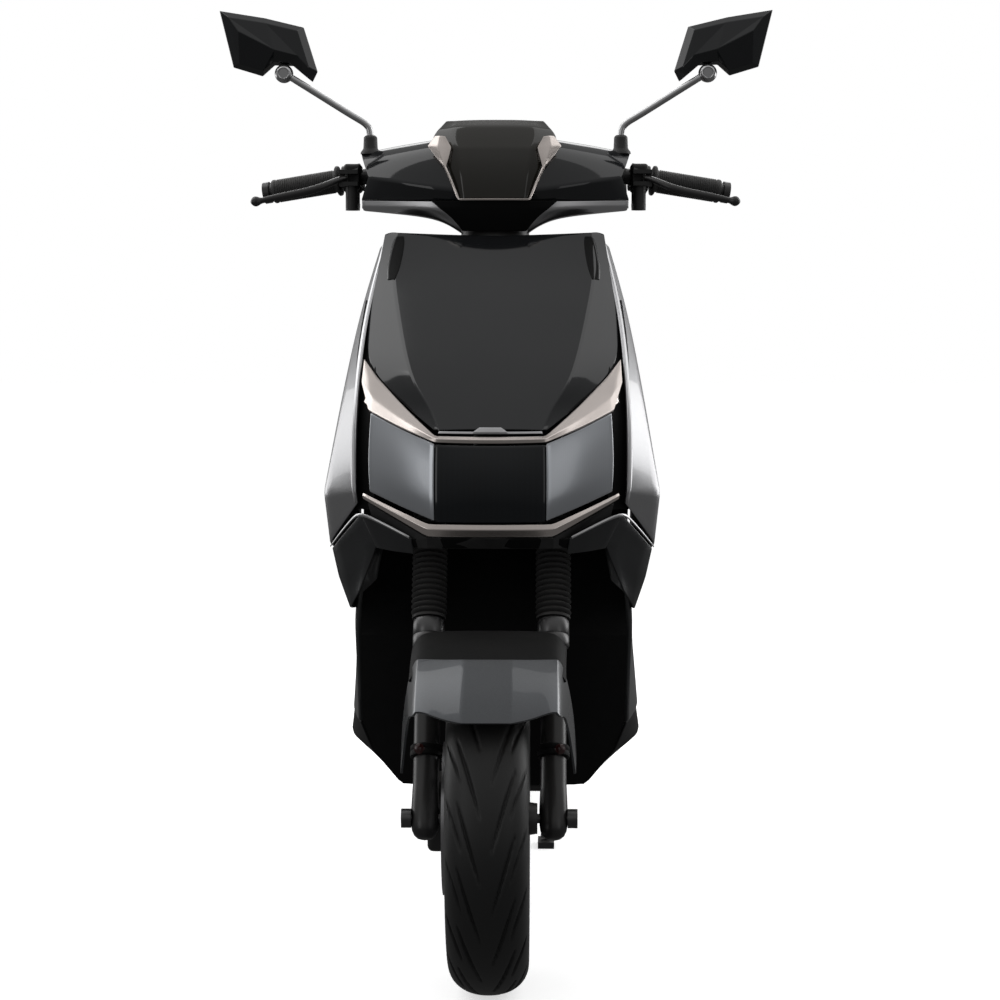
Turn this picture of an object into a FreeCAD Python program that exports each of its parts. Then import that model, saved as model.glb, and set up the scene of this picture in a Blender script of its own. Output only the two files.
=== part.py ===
"""Electric moped scooter, built as an assembly of separate pieces.

The model's frame: +Z up, the front faces -Y, +X is the rider's left, and the origin is on the ground at the
middle of the scooter's length. Lengths are in millimetres.
"""

import FreeCAD, Part

import math
import os

import Sketcher
from FreeCAD import Placement, Rotation, Vector

X_AXIS = Vector(1, 0, 0)
Y_AXIS = Vector(0, 1, 0)
Z_AXIS = Vector(0, 0, 1)

doc = FreeCAD.newDocument("moped_scooter")

# ---------------------------------------------------------------------------------------------------------
# Driving dimensions
# ---------------------------------------------------------------------------------------------------------

DRIVING_DIMENSIONS = [
    ("overall_length", 1810, "front of the front tyre to the end of the rear mudguard"),
    ("wheelbase", 1310, "distance between the axles"),
    ("tyre_radius", 217, "outer radius of both tyres, size 100/90-10"),
    ("tyre_width", 100, "section width of both tyres"),
    ("bead_radius", 129, "radius where the tyre sits on its rim"),
    ("rake", 26, "steering axis from the vertical, degrees"),
    ("fork_offset", 35, "axle ahead of the steering axis"),
    ("fork_spacing", 160, "distance between the fork legs' centres"),
    ("stanchion_radius", 13, "sliding tubes of the fork"),
    ("leg_radius", 17.5, "outside of the fork's lower legs"),
    ("leg_cap_radius", 19.5, "top collar of a lower leg"),
    ("leg_top", 262, "top of a lower leg above the axle, along the fork"),
    ("fork_travel", 60, "compression stroke of the fork"),
    ("yoke_height", 415, "underside of the fork's yoke above the axle, along the fork"),
    ("steerer_radius", 15, "tube that turns in the head tube"),
    ("head_tube_radius", 27, "outside of the frame's head tube"),
    ("handlebar_radius", 11, "handlebar tube, 22 mm"),
    ("grip_radius", 16.5, "both handgrips"),
    ("frame_tube", 12, "radius of the frame's rails"),
    ("rail_spacing", 240, "distance between the floor rails' centres"),
    ("floor_height", 330, "top of the floorboard"),
    ("floor_width", 330, "floorboard across its flat"),
    ("floor_length", 296, "floorboard along the scooter"),
    ("skin", 3, "wall of the plastic body panels"),
    ("seat_height", 700, "underside of the seat"),
    ("pivot_along", 270, "swingarm pivot behind the origin"),
    ("pivot_height", 232, "swingarm pivot above the ground"),
    ("arm_spacing", 188, "distance between the swingarm's arms"),
    ("stand_along", 215, "centre stand pivot behind the origin"),
    ("stand_height", 152, "centre stand pivot above the ground"),
    ("axle_radius", 6, "front axle"),
    ("motor_axle_radius", 8, "rear axle, fixed in the swingarm"),
    ("disc_radius", 95, "brake disc"),
    ("running_gap", 0.05, "radial gap of a turning or sliding fit"),
]

dims = doc.addObject("Spreadsheet::Sheet", "dims")
for number, (alias, value, meaning) in enumerate(DRIVING_DIMENSIONS, start=1):
    dims.set(f"A{number}", alias)
    dims.set(f"B{number}", str(value))
    dims.set(f"C{number}", meaning)
    dims.setAlias(f"B{number}", alias)
doc.recompute()


def num(size):
    """A size as a number: either a plain number or an expression on the spreadsheet's cells."""
    if isinstance(size, (int, float)):
        return float(size)
    return float(dims.evalExpression(size))


def bind(thing, prop, size):
    """Sets a property, and keeps it bound to the spreadsheet when its size is an expression."""
    setattr(thing, prop, num(size))
    if isinstance(size, str):
        thing.setExpression(prop, size)


# ---------------------------------------------------------------------------------------------------------
# Places that follow from the driving dimensions
# ---------------------------------------------------------------------------------------------------------

FRONT_AXLE_Y = num("-dims.overall_length / 2 + dims.tyre_radius")
AXLE_Z = num("dims.tyre_radius")
REAR_AXLE_Y = FRONT_AXLE_Y + num("dims.wheelbase")
TAIL_Y = num("dims.overall_length / 2")
RAKE = math.radians(num("dims.rake"))
ALONG_FORK = Vector(0, math.sin(RAKE), math.cos(RAKE))
BEHIND_FORK = Vector(0, math.cos(RAKE), -math.sin(RAKE))
# The steering frame has its origin on the steering axis, level with the axle along the fork.
STEERING_ORIGIN = Vector(0, FRONT_AXLE_Y, AXLE_Z) + BEHIND_FORK * num("dims.fork_offset")
FORK_X = num("dims.fork_spacing / 2")
SKIN = num("dims.skin")


def in_fork(x, behind, up):
    """A point given in the steering frame: x across, distance behind the axis, and distance up along it."""
    return STEERING_ORIGIN + Vector(x, 0, 0) + BEHIND_FORK * behind + ALONG_FORK * up


# ---------------------------------------------------------------------------------------------------------
# Ways of making pieces
# ---------------------------------------------------------------------------------------------------------

SUBPARTS = []


def subpart(thing, label):
    """Registers a finished object as a sub-part with the name of its file."""
    thing.Label = label
    SUBPARTS.append(thing)
    return thing


def cylinder(name, radius, height, start, direction=Z_AXIS):
    """A cylinder whose first end is centred on start and that runs along direction."""
    thing = doc.addObject("Part::Cylinder", name)
    bind(thing, "Radius", radius)
    bind(thing, "Height", height)
    thing.Placement = Placement(Vector(start), Rotation(Z_AXIS, Vector(direction)))
    return thing


def rod(name, radius, start, end):
    """A cylinder from start to end."""
    start, end = Vector(start), Vector(end)
    return cylinder(name, radius, (end - start).Length, start, end - start)


def sphere(name, radius, centre):
    thing = doc.addObject("Part::Sphere", name)
    bind(thing, "Radius", radius)
    thing.Placement = Placement(Vector(centre), Rotation())
    return thing


def block(name, sizes, centre, turn=None):
    """A box with its centre on a point, turned about that centre."""
    thing = doc.addObject("Part::Box", name)
    for prop, size in zip(("Length", "Width", "Height"), sizes):
        bind(thing, prop, size)
    half = Vector(*(num(size) / 2 for size in sizes))
    turn = turn or Rotation()
    thing.Placement = Placement(Vector(centre) - turn.multVec(half), turn)
    return thing


def fuse(name, *pieces):
    thing = doc.addObject("Part::MultiFuse", name)
    thing.Shapes = list(pieces)
    return thing


def cut(name, base, *tools):
    """The base without the tools."""
    tool = tools[0] if len(tools) == 1 else fuse(name + "_tools", *tools)
    thing = doc.addObject("Part::Cut", name)
    thing.Base = base
    thing.Tool = tool
    return thing


def mirrored(name, source):
    """The same piece on the scooter's other side."""
    thing = doc.addObject("Part::Mirroring", name)
    thing.Source = source
    thing.Normal = X_AXIS
    thing.Base = Vector(0, 0, 0)
    return thing


def group(name, *pieces):
    """Separate solids that share one sub-part."""
    thing = doc.addObject("Part::Compound", name)
    thing.Links = list(pieces)
    return thing


def pair(name, source):
    """A piece and its mirror image as one sub-part of two solids."""
    return group(name, source, mirrored(name + "_other_side", source))


def rounded(name, base, radius, edges=None):
    """The base with its edges filleted, all of them unless edges picks some."""
    doc.recompute()
    thing = doc.addObject("Part::Fillet", name)
    thing.Base = base
    numbers = [
        number
        for number, edge in enumerate(base.Shape.Edges, start=1)
        if edges is None or edges(edge)
    ]
    thing.Edges = [(number, radius, radius) for number in numbers]
    return thing


def outline(body, name, role, corners):
    """A closed sketch on one of the body's origin planes, its corners bound to the spreadsheet.

    A corner is (x, y), each a number or an expression. A corner (x, y, bulge) reaches the next corner by an
    arc that stands bulge off the straight line, on its left.
    """
    sketch = body.newObject("Sketcher::SketchObject", name)
    plane = [feature for feature in body.Origin.OriginFeatures if feature.Role == role][0]
    sketch.AttachmentSupport = [(plane, "")]
    sketch.MapMode = "FlatFace"
    points = [Vector(num(corner[0]), num(corner[1]), 0) for corner in corners]
    count = len(corners)
    for index, corner in enumerate(corners):
        start, end = points[index], points[(index + 1) % count]
        if len(corner) == 3:
            side = Z_AXIS.cross(end - start).normalize()
            middle = (start + end) * 0.5 + side * corner[2]
            circle = Part.Arc(start, middle, end)
            sketch.addGeometry(circle, False)
        else:
            sketch.addGeometry(Part.LineSegment(start, end), False)
    doc.recompute()
    first_ends = []
    for index in range(count):
        # An arc is stored anticlockwise, so its own first end may be the outline's second.
        flipped = (sketch.Geometry[index].StartPoint - points[index]).Length > 1e-6
        first_ends.append((2, 1) if flipped else (1, 2))
    for index in range(count):
        following = (index + 1) % count
        sketch.addConstraint(
            Sketcher.Constraint(
                "Coincident", index, first_ends[index][1], following, first_ends[following][0]
            )
        )
    for index, corner in enumerate(corners):
        own = first_ends[index][0]
        for kind, size, axis in (("DistanceX", corner[0], -2), ("DistanceY", corner[1], -1)):
            if abs(num(size)) < 1e-9:
                sketch.addConstraint(Sketcher.Constraint("PointOnObject", index, own, axis))
                continue
            number = sketch.addConstraint(
                Sketcher.Constraint(kind, -1, 1, index, own, num(size))
            )
            if isinstance(size, str):
                sketch.setExpression(f"Constraints[{number}]", size)
    return sketch


def turned(name, corners, centre, axis=X_AXIS):
    """A body turned about an axis through centre: corners are (along the axis, radius)."""
    body = doc.addObject("PartDesign::Body", name)
    sketch = outline(body, name + "_profile", "XY_Plane", corners)
    feature = body.newObject("PartDesign::Revolution", name + "_turned")
    feature.Profile = sketch
    feature.ReferenceAxis = (sketch, ["H_Axis"])
    feature.Angle = 360
    body.Placement = Placement(Vector(centre), Rotation(X_AXIS, Vector(axis)))
    return body


def padded(name, corners, length, placement, role="XY_Plane", symmetric=False):
    """A body padded from an outline."""
    body = doc.addObject("PartDesign::Body", name)
    sketch = outline(body, name + "_outline", role, corners)
    feature = body.newObject("PartDesign::Pad", name + "_pad")
    feature.Profile = sketch
    bind(feature, "Length", length)
    if symmetric:
        feature.Midplane = True
    body.Placement = placement
    return body


def across(name, corners, x_from, thickness):
    """A plate that lies across the X axis: corners are (y, z)."""
    turn = Rotation(Vector(0, 1, 0), Vector(0, 0, 1), Vector(1, 0, 0), "ZXY")
    return padded(name, corners, thickness, Placement(Vector(x_from, 0, 0), turn))


# Panels are sheets of flat facets with a wall. Their corners are given in the model's own frame.


def facets_of_rows(rows):
    """Corner list and four-sided faces of a grid of corners, row by row."""
    width = len(rows[0])
    corners = [Vector(*corner) for row in rows for corner in row]
    faces = [
        (r * width + c, r * width + c + 1, (r + 1) * width + c + 1, (r + 1) * width + c)
        for r in range(len(rows) - 1)
        for c in range(width - 1)
    ]
    return corners, faces


def sheet_solid(corners, faces, wall):
    """A closed solid: the facets, the same facets one wall further in, and a rim between them.

    The wall grows against the facets' normals, which follow the right-hand rule about each face.
    """
    normals = [Vector(0, 0, 0) for _ in corners]
    for face in faces:
        ring = [corners[index] for index in face]
        normal = Vector(0, 0, 0)
        for here, after in zip(ring, ring[1:] + ring[:1]):
            normal += here.cross(after)
        if normal.Length > 1e-9:
            normal.normalize()
        for index in face:
            normals[index] += normal
    inner = [
        corner - normal.normalize() * wall for corner, normal in zip(corners, map(Vector, normals))
    ]
    triangles = []
    edges = {}
    for face in faces:
        for second in range(1, len(face) - 1):
            a, b, c = face[0], face[second], face[second + 1]
            triangles.append((corners[a], corners[b], corners[c]))
            triangles.append((inner[a], inner[c], inner[b]))
        for here, after in zip(face, face[1:] + face[:1]):
            key = (min(here, after), max(here, after))
            edges.setdefault(key, []).append((here, after))
    for uses in edges.values():
        if len(uses) == 1:
            here, after = uses[0]
            triangles.append((corners[after], corners[here], inner[here]))
            triangles.append((corners[after], inner[here], inner[after]))
    return solid_of(triangles)


def solid_of(triangles):
    """A solid from triangles that close it."""
    skins = []
    for a, b, c in triangles:
        if (b - a).cross(c - a).Length < 1e-6:
            continue
        skins.append(Part.Face(Part.makePolygon([a, b, c, a])))
    shell = Part.Shell(skins)
    solid = Part.Solid(shell)
    if solid.Volume < 0:
        solid.reverse()
    return solid


def whole_rows(rows):
    """Rows given from the middle outwards on +X, completed with their mirror image on -X."""
    full = []
    for row in rows:
        other_side = [(-x, y, z) for x, y, z in reversed(row) if abs(x) > 1e-6]
        full.append(other_side + list(row))
    return full


def panel(label, solids):
    """A sub-part whose shape is set from solids, placed after its shape is set."""
    thing = doc.addObject("Part::Feature", label)
    thing.Shape = solids[0] if len(solids) == 1 else Part.makeCompound(solids)
    thing.Placement = Placement()
    return subpart(thing, label)


def mirror_solid(solid):
    return solid.mirror(Vector(0, 0, 0), X_AXIS)


def middle_sheet(rows, wall=SKIN):
    """A sheet that crosses the middle of the scooter, facing the way its rows run."""
    return sheet_solid(*facets_of_rows(whole_rows(rows)), wall)


def side_sheets(rows, wall=SKIN):
    """A sheet on the +X side and its mirror image."""
    solid = sheet_solid(*facets_of_rows(rows), wall)
    return [solid, mirror_solid(solid)]


# ---------------------------------------------------------------------------------------------------------
# Frame, its bearings and the bolts things pivot on
# ---------------------------------------------------------------------------------------------------------

RAIL_X = num("dims.rail_spacing / 2")
RAIL_Z = 308
PIVOT = Vector(0, num("dims.pivot_along"), num("dims.pivot_height"))
STAND = Vector(0, num("dims.stand_along"), num("dims.stand_height"))
REAR_AXLE = Vector(0, REAR_AXLE_Y, AXLE_Z)
SHOCK_TOP = Vector(122, 545, 520)
SHOCK_FOOT = Vector(122, 575, 236)
ARM_X = num("dims.arm_spacing / 2")
PROP = Vector(139, 150, 210)


def tube_run(name, radius, points):
    """Tubes from point to point with rounded joints, as one list of pieces."""
    pieces = []
    for index, (start, end) in enumerate(zip(points, points[1:])):
        pieces.append(rod(f"{name}_run_{index}", radius, start, end))
        if index:
            pieces.append(sphere(f"{name}_joint_{index}", radius, start))
    return pieces


def both_sides(name, pieces):
    """The pieces and their mirror images."""
    return pieces + [mirrored(f"{name}_far_{index}", piece) for index, piece in enumerate(pieces)]


head_outer = rod("head_outer", "dims.head_tube_radius", in_fork(0, 0, 456), in_fork(0, 0, 664))
down_tube = tube_run("down_tube", 20, [(0, -392, 700), (0, -316, 596), (0, -316, RAIL_Z)])
side_run = tube_run(
    "side_run",
    "dims.frame_tube",
    [
        (0, -316, RAIL_Z),
        (RAIL_X, -290, RAIL_Z),
        (RAIL_X, 170, RAIL_Z),
        (RAIL_X, 252, 560),
        (RAIL_X - 14, 650, 632),
        (70, 735, 645),
        (0, 735, 645),
    ],
)
pivot_plate = across(
    "pivot_plate", [(150, 310), (175, 138), (240, 134), (300, 212), (300, 256), (215, 400)], 107, 6
)
shock_tab = block("shock_tab", (8, 34, 112), (101, SHOCK_TOP.y, 563))
grab_tab = block("grab_tab", (24, 34, 18), (106, 580, 631))
rear_cross = rod("rear_cross", 10, (-RAIL_X + 8, 420, 590), (RAIL_X - 8, 420, 590))
frame_whole = fuse(
    "frame_whole",
    head_outer,
    *down_tube,
    rear_cross,
    *both_sides("frame_sides", side_run + [pivot_plate, shock_tab, grab_tab]),
)
steerer_room = rod("steerer_room", 19, in_fork(0, 0, 470), in_fork(0, 0, 650))
bearing_bores = rod(
    "bearing_bores", "dims.steerer_radius + dims.running_gap", in_fork(0, 0, 450), in_fork(0, 0, 670)
)
pivot_hole = cylinder(
    "pivot_hole", "dims.motor_axle_radius + dims.running_gap", 240, PIVOT - X_AXIS * 120, X_AXIS
)
stand_hole = cylinder("stand_hole", 6.05, 240, STAND - X_AXIS * 120, X_AXIS)
shock_hole = cylinder("shock_hole", 5.05, 240, Vector(-120, SHOCK_TOP.y, SHOCK_TOP.z), X_AXIS)
prop_plate = block("prop_plate", (6, 44, 100), (127, PROP.y, 246))
prop_pin = rod("prop_pin", 5, (126, PROP.y, PROP.z), (150, PROP.y, PROP.z))
prop_cap = rod("prop_cap", 9, (150, PROP.y, PROP.z), (154, PROP.y, PROP.z))
frame_drilled = cut(
    "frame_drilled", frame_whole, steerer_room, bearing_bores, pivot_hole, stand_hole, shock_hole
)
subpart(fuse("frame_finished", frame_drilled, prop_plate, prop_pin, prop_cap), "frame")


def bolt(name, radius, head_radius, start, end, head=6):
    """A bolt with a head outside each end."""
    start, end = Vector(start), Vector(end)
    out = (end - start).normalize() * head
    return fuse(
        name,
        rod(name + "_shank", radius, start, end),
        rod(name + "_head", head_radius, start - out, start),
        rod(name + "_nut", head_radius, end, end + out),
    )


swing_bolt = bolt(
    "swing_bolt", "dims.motor_axle_radius", 14, PIVOT - X_AXIS * 114, PIVOT + X_AXIS * 114
)
stand_bolt = bolt("stand_bolt", 6, 11, STAND - X_AXIS * 114, STAND + X_AXIS * 114)
upper_bolt = bolt("upper_bolt", 5, 9, SHOCK_TOP - X_AXIS * 26, SHOCK_TOP + X_AXIS * 14, 4)
subpart(
    group("all_chassis_bolts", swing_bolt, stand_bolt, *both_sides("upper_bolts", [upper_bolt])),
    "chassis_bolts",
)

# ---------------------------------------------------------------------------------------------------------
# Front wheel
# ---------------------------------------------------------------------------------------------------------

TYRE_PROFILE = [
    (-33, "dims.bead_radius + 1"),
    (-34, "dims.bead_radius + 10"),
    (-35, "dims.bead_radius + 12"),
    (-39, "dims.bead_radius + 14"),
    ("-dims.tyre_width / 2 + 2.5", "dims.tyre_radius - 58"),
    ("-dims.tyre_width / 2", "dims.tyre_radius - 36"),
    ("-dims.tyre_width / 2 + 5", "dims.tyre_radius - 16"),
    (-27, "dims.tyre_radius - 3.5"),
    (0, "dims.tyre_radius"),
    (27, "dims.tyre_radius - 3.5"),
    ("dims.tyre_width / 2 - 5", "dims.tyre_radius - 16"),
    ("dims.tyre_width / 2", "dims.tyre_radius - 36"),
    ("dims.tyre_width / 2 - 2.5", "dims.tyre_radius - 58"),
    (39, "dims.bead_radius + 14"),
    (35, "dims.bead_radius + 12"),
    (34, "dims.bead_radius + 10"),
    (33, "dims.bead_radius + 1"),
    (26, "dims.bead_radius + 1"),
    (28, "dims.bead_radius + 14"),
    ("dims.tyre_width / 2 - 10", "dims.tyre_radius - 57"),
    ("dims.tyre_width / 2 - 9", "dims.tyre_radius - 38"),
    (36, "dims.tyre_radius - 22"),
    (0, "dims.tyre_radius - 11"),
    (-36, "dims.tyre_radius - 22"),
    ("-dims.tyre_width / 2 + 9", "dims.tyre_radius - 38"),
    ("-dims.tyre_width / 2 + 10", "dims.tyre_radius - 57"),
    (-28, "dims.bead_radius + 14"),
    (-26, "dims.bead_radius + 1"),
]
RIM_PROFILE = [
    (-38, "dims.bead_radius + 10"),
    (-38, "dims.bead_radius - 6"),
    (-22, "dims.bead_radius - 14"),
    (22, "dims.bead_radius - 14"),
    (38, "dims.bead_radius - 6"),
    (38, "dims.bead_radius + 10"),
    (34.5, "dims.bead_radius + 9"),
    (33.5, "dims.bead_radius + 0.5"),
    (20, "dims.bead_radius - 8"),
    (-20, "dims.bead_radius - 8"),
    (-33.5, "dims.bead_radius + 0.5"),
    (-34.5, "dims.bead_radius + 9"),
]
FRONT_AXLE = Vector(0, FRONT_AXLE_Y, AXLE_Z)
HUB_PROFILE = [
    (-52.5, "dims.axle_radius + dims.running_gap"),
    (-52.5, 33),
    (-46, 33),
    (-40, 27),
    (40, 27),
    (46, 21),
    (60, 19),
    (60, "dims.axle_radius + dims.running_gap"),
]

subpart(turned("front_tyre_ring", TYRE_PROFILE, FRONT_AXLE), "front_tyre")
rim_ring = turned("front_rim_ring", RIM_PROFILE, FRONT_AXLE)
hub = turned("front_hub", HUB_PROFILE, FRONT_AXLE)
spokes = []
for number in range(5):
    turn = Rotation(X_AXIS, 72 * number)
    reach = turn.multVec(Vector(0, 0, 71))
    spokes.append(block(f"spoke_{number}", (26, 24, 96), FRONT_AXLE + reach, turn))
subpart(fuse("front_rim_whole", rim_ring, hub, *spokes), "front_rim")

DISC_X = -55
disc_plate = turned(
    "disc_plate",
    [(-2, 15), (-2, "dims.disc_radius"), (2, "dims.disc_radius"), (2, 15)],
    FRONT_AXLE + X_AXIS * DISC_X,
)
disc_holes = []
for ring, (radius, reach, count) in enumerate(((9, 52, 6), (4, 82, 18))):
    for number in range(count):
        out = Rotation(X_AXIS, 360 / count * number).multVec(Vector(0, 0, reach))
        start = FRONT_AXLE + out + X_AXIS * (DISC_X - 4)
        disc_holes.append(cylinder(f"disc_hole_{ring}_{number}", radius, 8, start, X_AXIS))
subpart(cut("disc_finished", disc_plate, *disc_holes), "brake_disc")

# ---------------------------------------------------------------------------------------------------------
# Fork
# ---------------------------------------------------------------------------------------------------------

LEG_BEHIND = -num("dims.fork_offset")


def up_leg(name, radius, low, high):
    """A cylinder on the fork leg's own centre line, on the +X side."""
    return rod(name, radius, in_fork(FORK_X, LEG_BEHIND, low), in_fork(FORK_X, LEG_BEHIND, high))


leg_whole = fuse(
    "leg_whole",
    up_leg("leg_tube", "dims.leg_radius", -26, num("dims.leg_top") - 30),
    up_leg("leg_collar", "dims.leg_cap_radius", num("dims.leg_top") - 34, num("dims.leg_top")),
    block("leg_foot", (33, 44, 46), in_fork(FORK_X, LEG_BEHIND, -2), Rotation(X_AXIS, -num("dims.rake"))),
)
leg_bore = up_leg("leg_bore", "dims.stanchion_radius + dims.running_gap", 24, num("dims.leg_top") + 2)
leg_eye = rod(
    "leg_eye",
    "dims.axle_radius + dims.running_gap",
    FRONT_AXLE + X_AXIS * (FORK_X - 24),
    FRONT_AXLE + X_AXIS * (FORK_X + 24),
)
subpart(pair("both_legs", cut("leg_finished", leg_whole, leg_bore, leg_eye)), "fork_legs")

AXLE_REACH = FORK_X + 17.6
axle_bolt = bolt(
    "axle_bolt",
    "dims.axle_radius",
    12,
    FRONT_AXLE - X_AXIS * AXLE_REACH,
    FRONT_AXLE + X_AXIS * AXLE_REACH,
    12.4,
)
subpart(axle_bolt, "front_axle")

subpart(
    pair("both_stanchions", up_leg("stanchion", "dims.stanchion_radius", 112, num("dims.yoke_height") + 36)),
    "stanchions",
)

GAITER_RIBS = 9
gaiter_low = num("dims.leg_top") + 0.6
gaiter_high = num("dims.yoke_height") - 0.6
gaiter_step = (gaiter_high - gaiter_low) / (2 * GAITER_RIBS)
gaiter_outer = [
    (index * gaiter_step, 24 if index % 2 else 20) for index in range(2 * GAITER_RIBS + 1)
]
gaiter_inner = [(along, radius - 2.5) for along, radius in reversed(gaiter_outer)]
gaiter = turned(
    "gaiter", gaiter_outer + gaiter_inner, in_fork(FORK_X, LEG_BEHIND, gaiter_low), ALONG_FORK
)
subpart(pair("both_gaiters", gaiter), "fork_gaiters")

yoke_block = block(
    "yoke_block",
    (194, 74, 36),
    in_fork(0, LEG_BEHIND / 2, num("dims.yoke_height") + 18),
    Rotation(X_AXIS, -num("dims.rake")),
)
yoke_hole = up_leg(
    "yoke_hole",
    "dims.stanchion_radius + dims.running_gap",
    num("dims.yoke_height") - 2,
    num("dims.yoke_height") + 37,
)
steerer_foot = in_fork(0, 0, num("dims.yoke_height") + 30)
steerer = rod("steerer", "dims.steerer_radius", steerer_foot, in_fork(0, 0, 866))
yoke_whole = fuse("yoke_whole", rounded("yoke_rounded", yoke_block, 9), steerer)
subpart(cut("yoke_finished", yoke_whole, *both_sides("yoke_holes", [yoke_hole])), "fork_yoke")

caliper_body = block(
    "caliper_body", (44, 62, 92), FRONT_AXLE + Vector(-58, 78, -6), Rotation(X_AXIS, 6)
)
caliper_slot = cylinder("caliper_slot", 99, 8, FRONT_AXLE + X_AXIS * (DISC_X - 4), X_AXIS)
caliper_mount = block(
    "caliper_mount", (12, 66, 20), FRONT_AXLE + Vector(-80, 42, -6), Rotation(X_AXIS, 10)
)
leg_room = block(
    "leg_room",
    (34, 45, 70),
    in_fork(-FORK_X, LEG_BEHIND, -2),
    Rotation(X_AXIS, -num("dims.rake")),
)
tyre_room = cylinder("tyre_room", 221, 104, FRONT_AXLE - X_AXIS * 52, X_AXIS)
subpart(
    cut(
        "caliper_finished",
        fuse("caliper_whole", rounded("caliper_rounded", caliper_body, 8), caliper_mount),
        caliper_slot,
        tyre_room,
        leg_room,
    ),
    "brake_caliper",
)


def round_wheel(x, radius, degrees):
    """A point about the front axle: degrees are counted up from straight ahead."""
    angle = math.radians(degrees)
    return (x, FRONT_AXLE_Y - radius * math.cos(angle), AXLE_Z + radius * math.sin(angle))


MUDGUARD_COLUMNS = [
    (0, 37, 249, 62, 240),
    (28, 37, 249.5, 62, 240),
    (52, 38.7, 248, 62, 240),
    (74, 42, 246, 62, 239.5),
    (87, 42, 238, 62, 237),
]
MUDGUARD_BLADES = [
    ((94, -826, 370), (98, -774, 398)),
    ((100, -790, 338), (105, -742, 350)),
    ((106.5, -757, 288), (108, -726, 300)),
]
mudguard_rows = []
for share in (0, 0.5, 1):
    crown = [
        round_wheel(x, low_r + (high_r - low_r) * share, low + (high - low) * share)
        for x, low, low_r, high, high_r in MUDGUARD_COLUMNS
    ]
    blades = [tuple(Vector(*front) * (1 - share) + Vector(*rear) * share) for front, rear in MUDGUARD_BLADES]
    mudguard_rows.append(crown + blades)
panel("front_mudguard", [middle_sheet(mudguard_rows)])

liner_rows = []
for degrees in (50, 65, 80, 95, 110, 125, 140, 152):
    liner_rows.append(
        [
            round_wheel(0, 232, degrees),
            round_wheel(38, 231, degrees),
            round_wheel(57, 224, degrees),
            round_wheel(59.5, 206, degrees),
        ]
    )
panel("mudguard_liner", [middle_sheet(liner_rows, 2.5)])

# ---------------------------------------------------------------------------------------------------------
# Front body panels
# ---------------------------------------------------------------------------------------------------------

panel(
    "front_panel",
    [
        middle_sheet(
            [
                [(0, -622, 700), (28, -621, 700), (50, -618, 699), (70, -615, 699)],
                [(0, -584, 742), (45, -580, 742), (86, -568, 740), (120, -554, 737)],
                [(0, -536, 792), (60, -530, 792), (116, -510, 790), (167, -484, 786)],
                [(0, -456, 864), (58, -450, 864), (112, -436, 864), (161, -416, 864)],
                [(0, -357, 951), (52, -356, 953), (100, -351, 956), (146, -344, 957)],
            ]
        )
    ],
)
panel(
    "upper_trim",
    [
        middle_sheet(
            [
                [(0, -637, 682.5), (70, -632, 684), (115, -606, 702), (157, -576, 723), (161, -560, 735)],
                [(0, -632, 690), (70, -625, 691), (113, -570, 727), (150, -516, 762), (167, -490, 780)],
            ]
        )
    ],
)
panel(
    "nose_strip",
    [
        middle_sheet([[(0, -628, 694), (67, -622, 694.5)], [(0, -626.5, 697), (64, -620.5, 697.5)]], 2),
        middle_sheet([[(0, -631, 694), (23, -630, 694)], [(0, -628, 702.5), (14, -627.4, 702.5)]], 2),
    ],
)
panel(
    "headlight_lens",
    [
        middle_sheet(
            [
                [(0, -645, 583), (36, -643, 583), (68, -637, 584)],
                [(0, -640, 680), (36, -638, 680), (68, -632, 681)],
            ]
        )
    ],
)
panel(
    "headlight_wings",
    side_sheets(
        [
            [(72, -635, 586), (112, -613, 600), (154, -590, 619)],
            [(72, -631, 682), (114, -604, 699), (154, -578, 719)],
        ]
    ),
)
panel(
    "headlight_housing",
    [
        middle_sheet(
            [
                [(0, -633, 586), (70, -623, 588), (112, -601, 602), (150, -581, 621)],
                [(0, -628, 676), (70, -620, 678), (112, -594, 694), (150, -570, 712)],
            ],
            13,
        ),
        middle_sheet(
            [
                [(0, -626, 549), (80, -620, 549), (143, -582, 549)],
                [(0, -638, 562.5), (80, -630, 562.5), (157, -590, 604)],
            ]
        ),
    ],
)
panel(
    "lower_trim",
    [
        middle_sheet(
            [
                [(0, -641, 565), (79, -633, 565), (120, -613, 587), (158, -593, 608)],
                [(0, -644, 580), (78, -635, 580), (119, -611, 596), (158, -590, 614)],
            ]
        )
    ],
)
panel(
    "side_panels",
    side_sheets(
        [
            [(169, -562, 600), (213, -514, 541), (206, -400, 520), (190, -264, 500)],
            [(171, -566, 616), (220, -524, 614), (212, -400, 610), (192, -262, 600)],
            [(173, -556, 668), (210, -500, 668), (203, -390, 668), (189, -260, 668)],
            [(174, -525, 732), (200, -462, 732), (195, -370, 732), (185, -257, 732)],
            [(173, -478, 797), (189, -420, 797), (184, -340, 797), (178, -254, 797)],
            [(166, -414, 864), (176, -372, 864), (173, -310, 864), (168, -250, 864)],
            [(152, -338, 946), (158, -326, 938), (156, -290, 944), (151, -248, 948)],
        ]
    ),
)
panel(
    "side_cheeks",
    side_sheets(
        [
            [(173, -540, 486), (187, -505, 460), (190, -400, 448), (184, -264, 442)],
            [(147, -576, 548), (202, -514, 502), (199, -400, 485), (187, -264, 470)],
            [(165, -566, 591), (209.5, -516, 533), (203, -400, 513), (188, -264, 493)],
        ]
    ),
)
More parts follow.
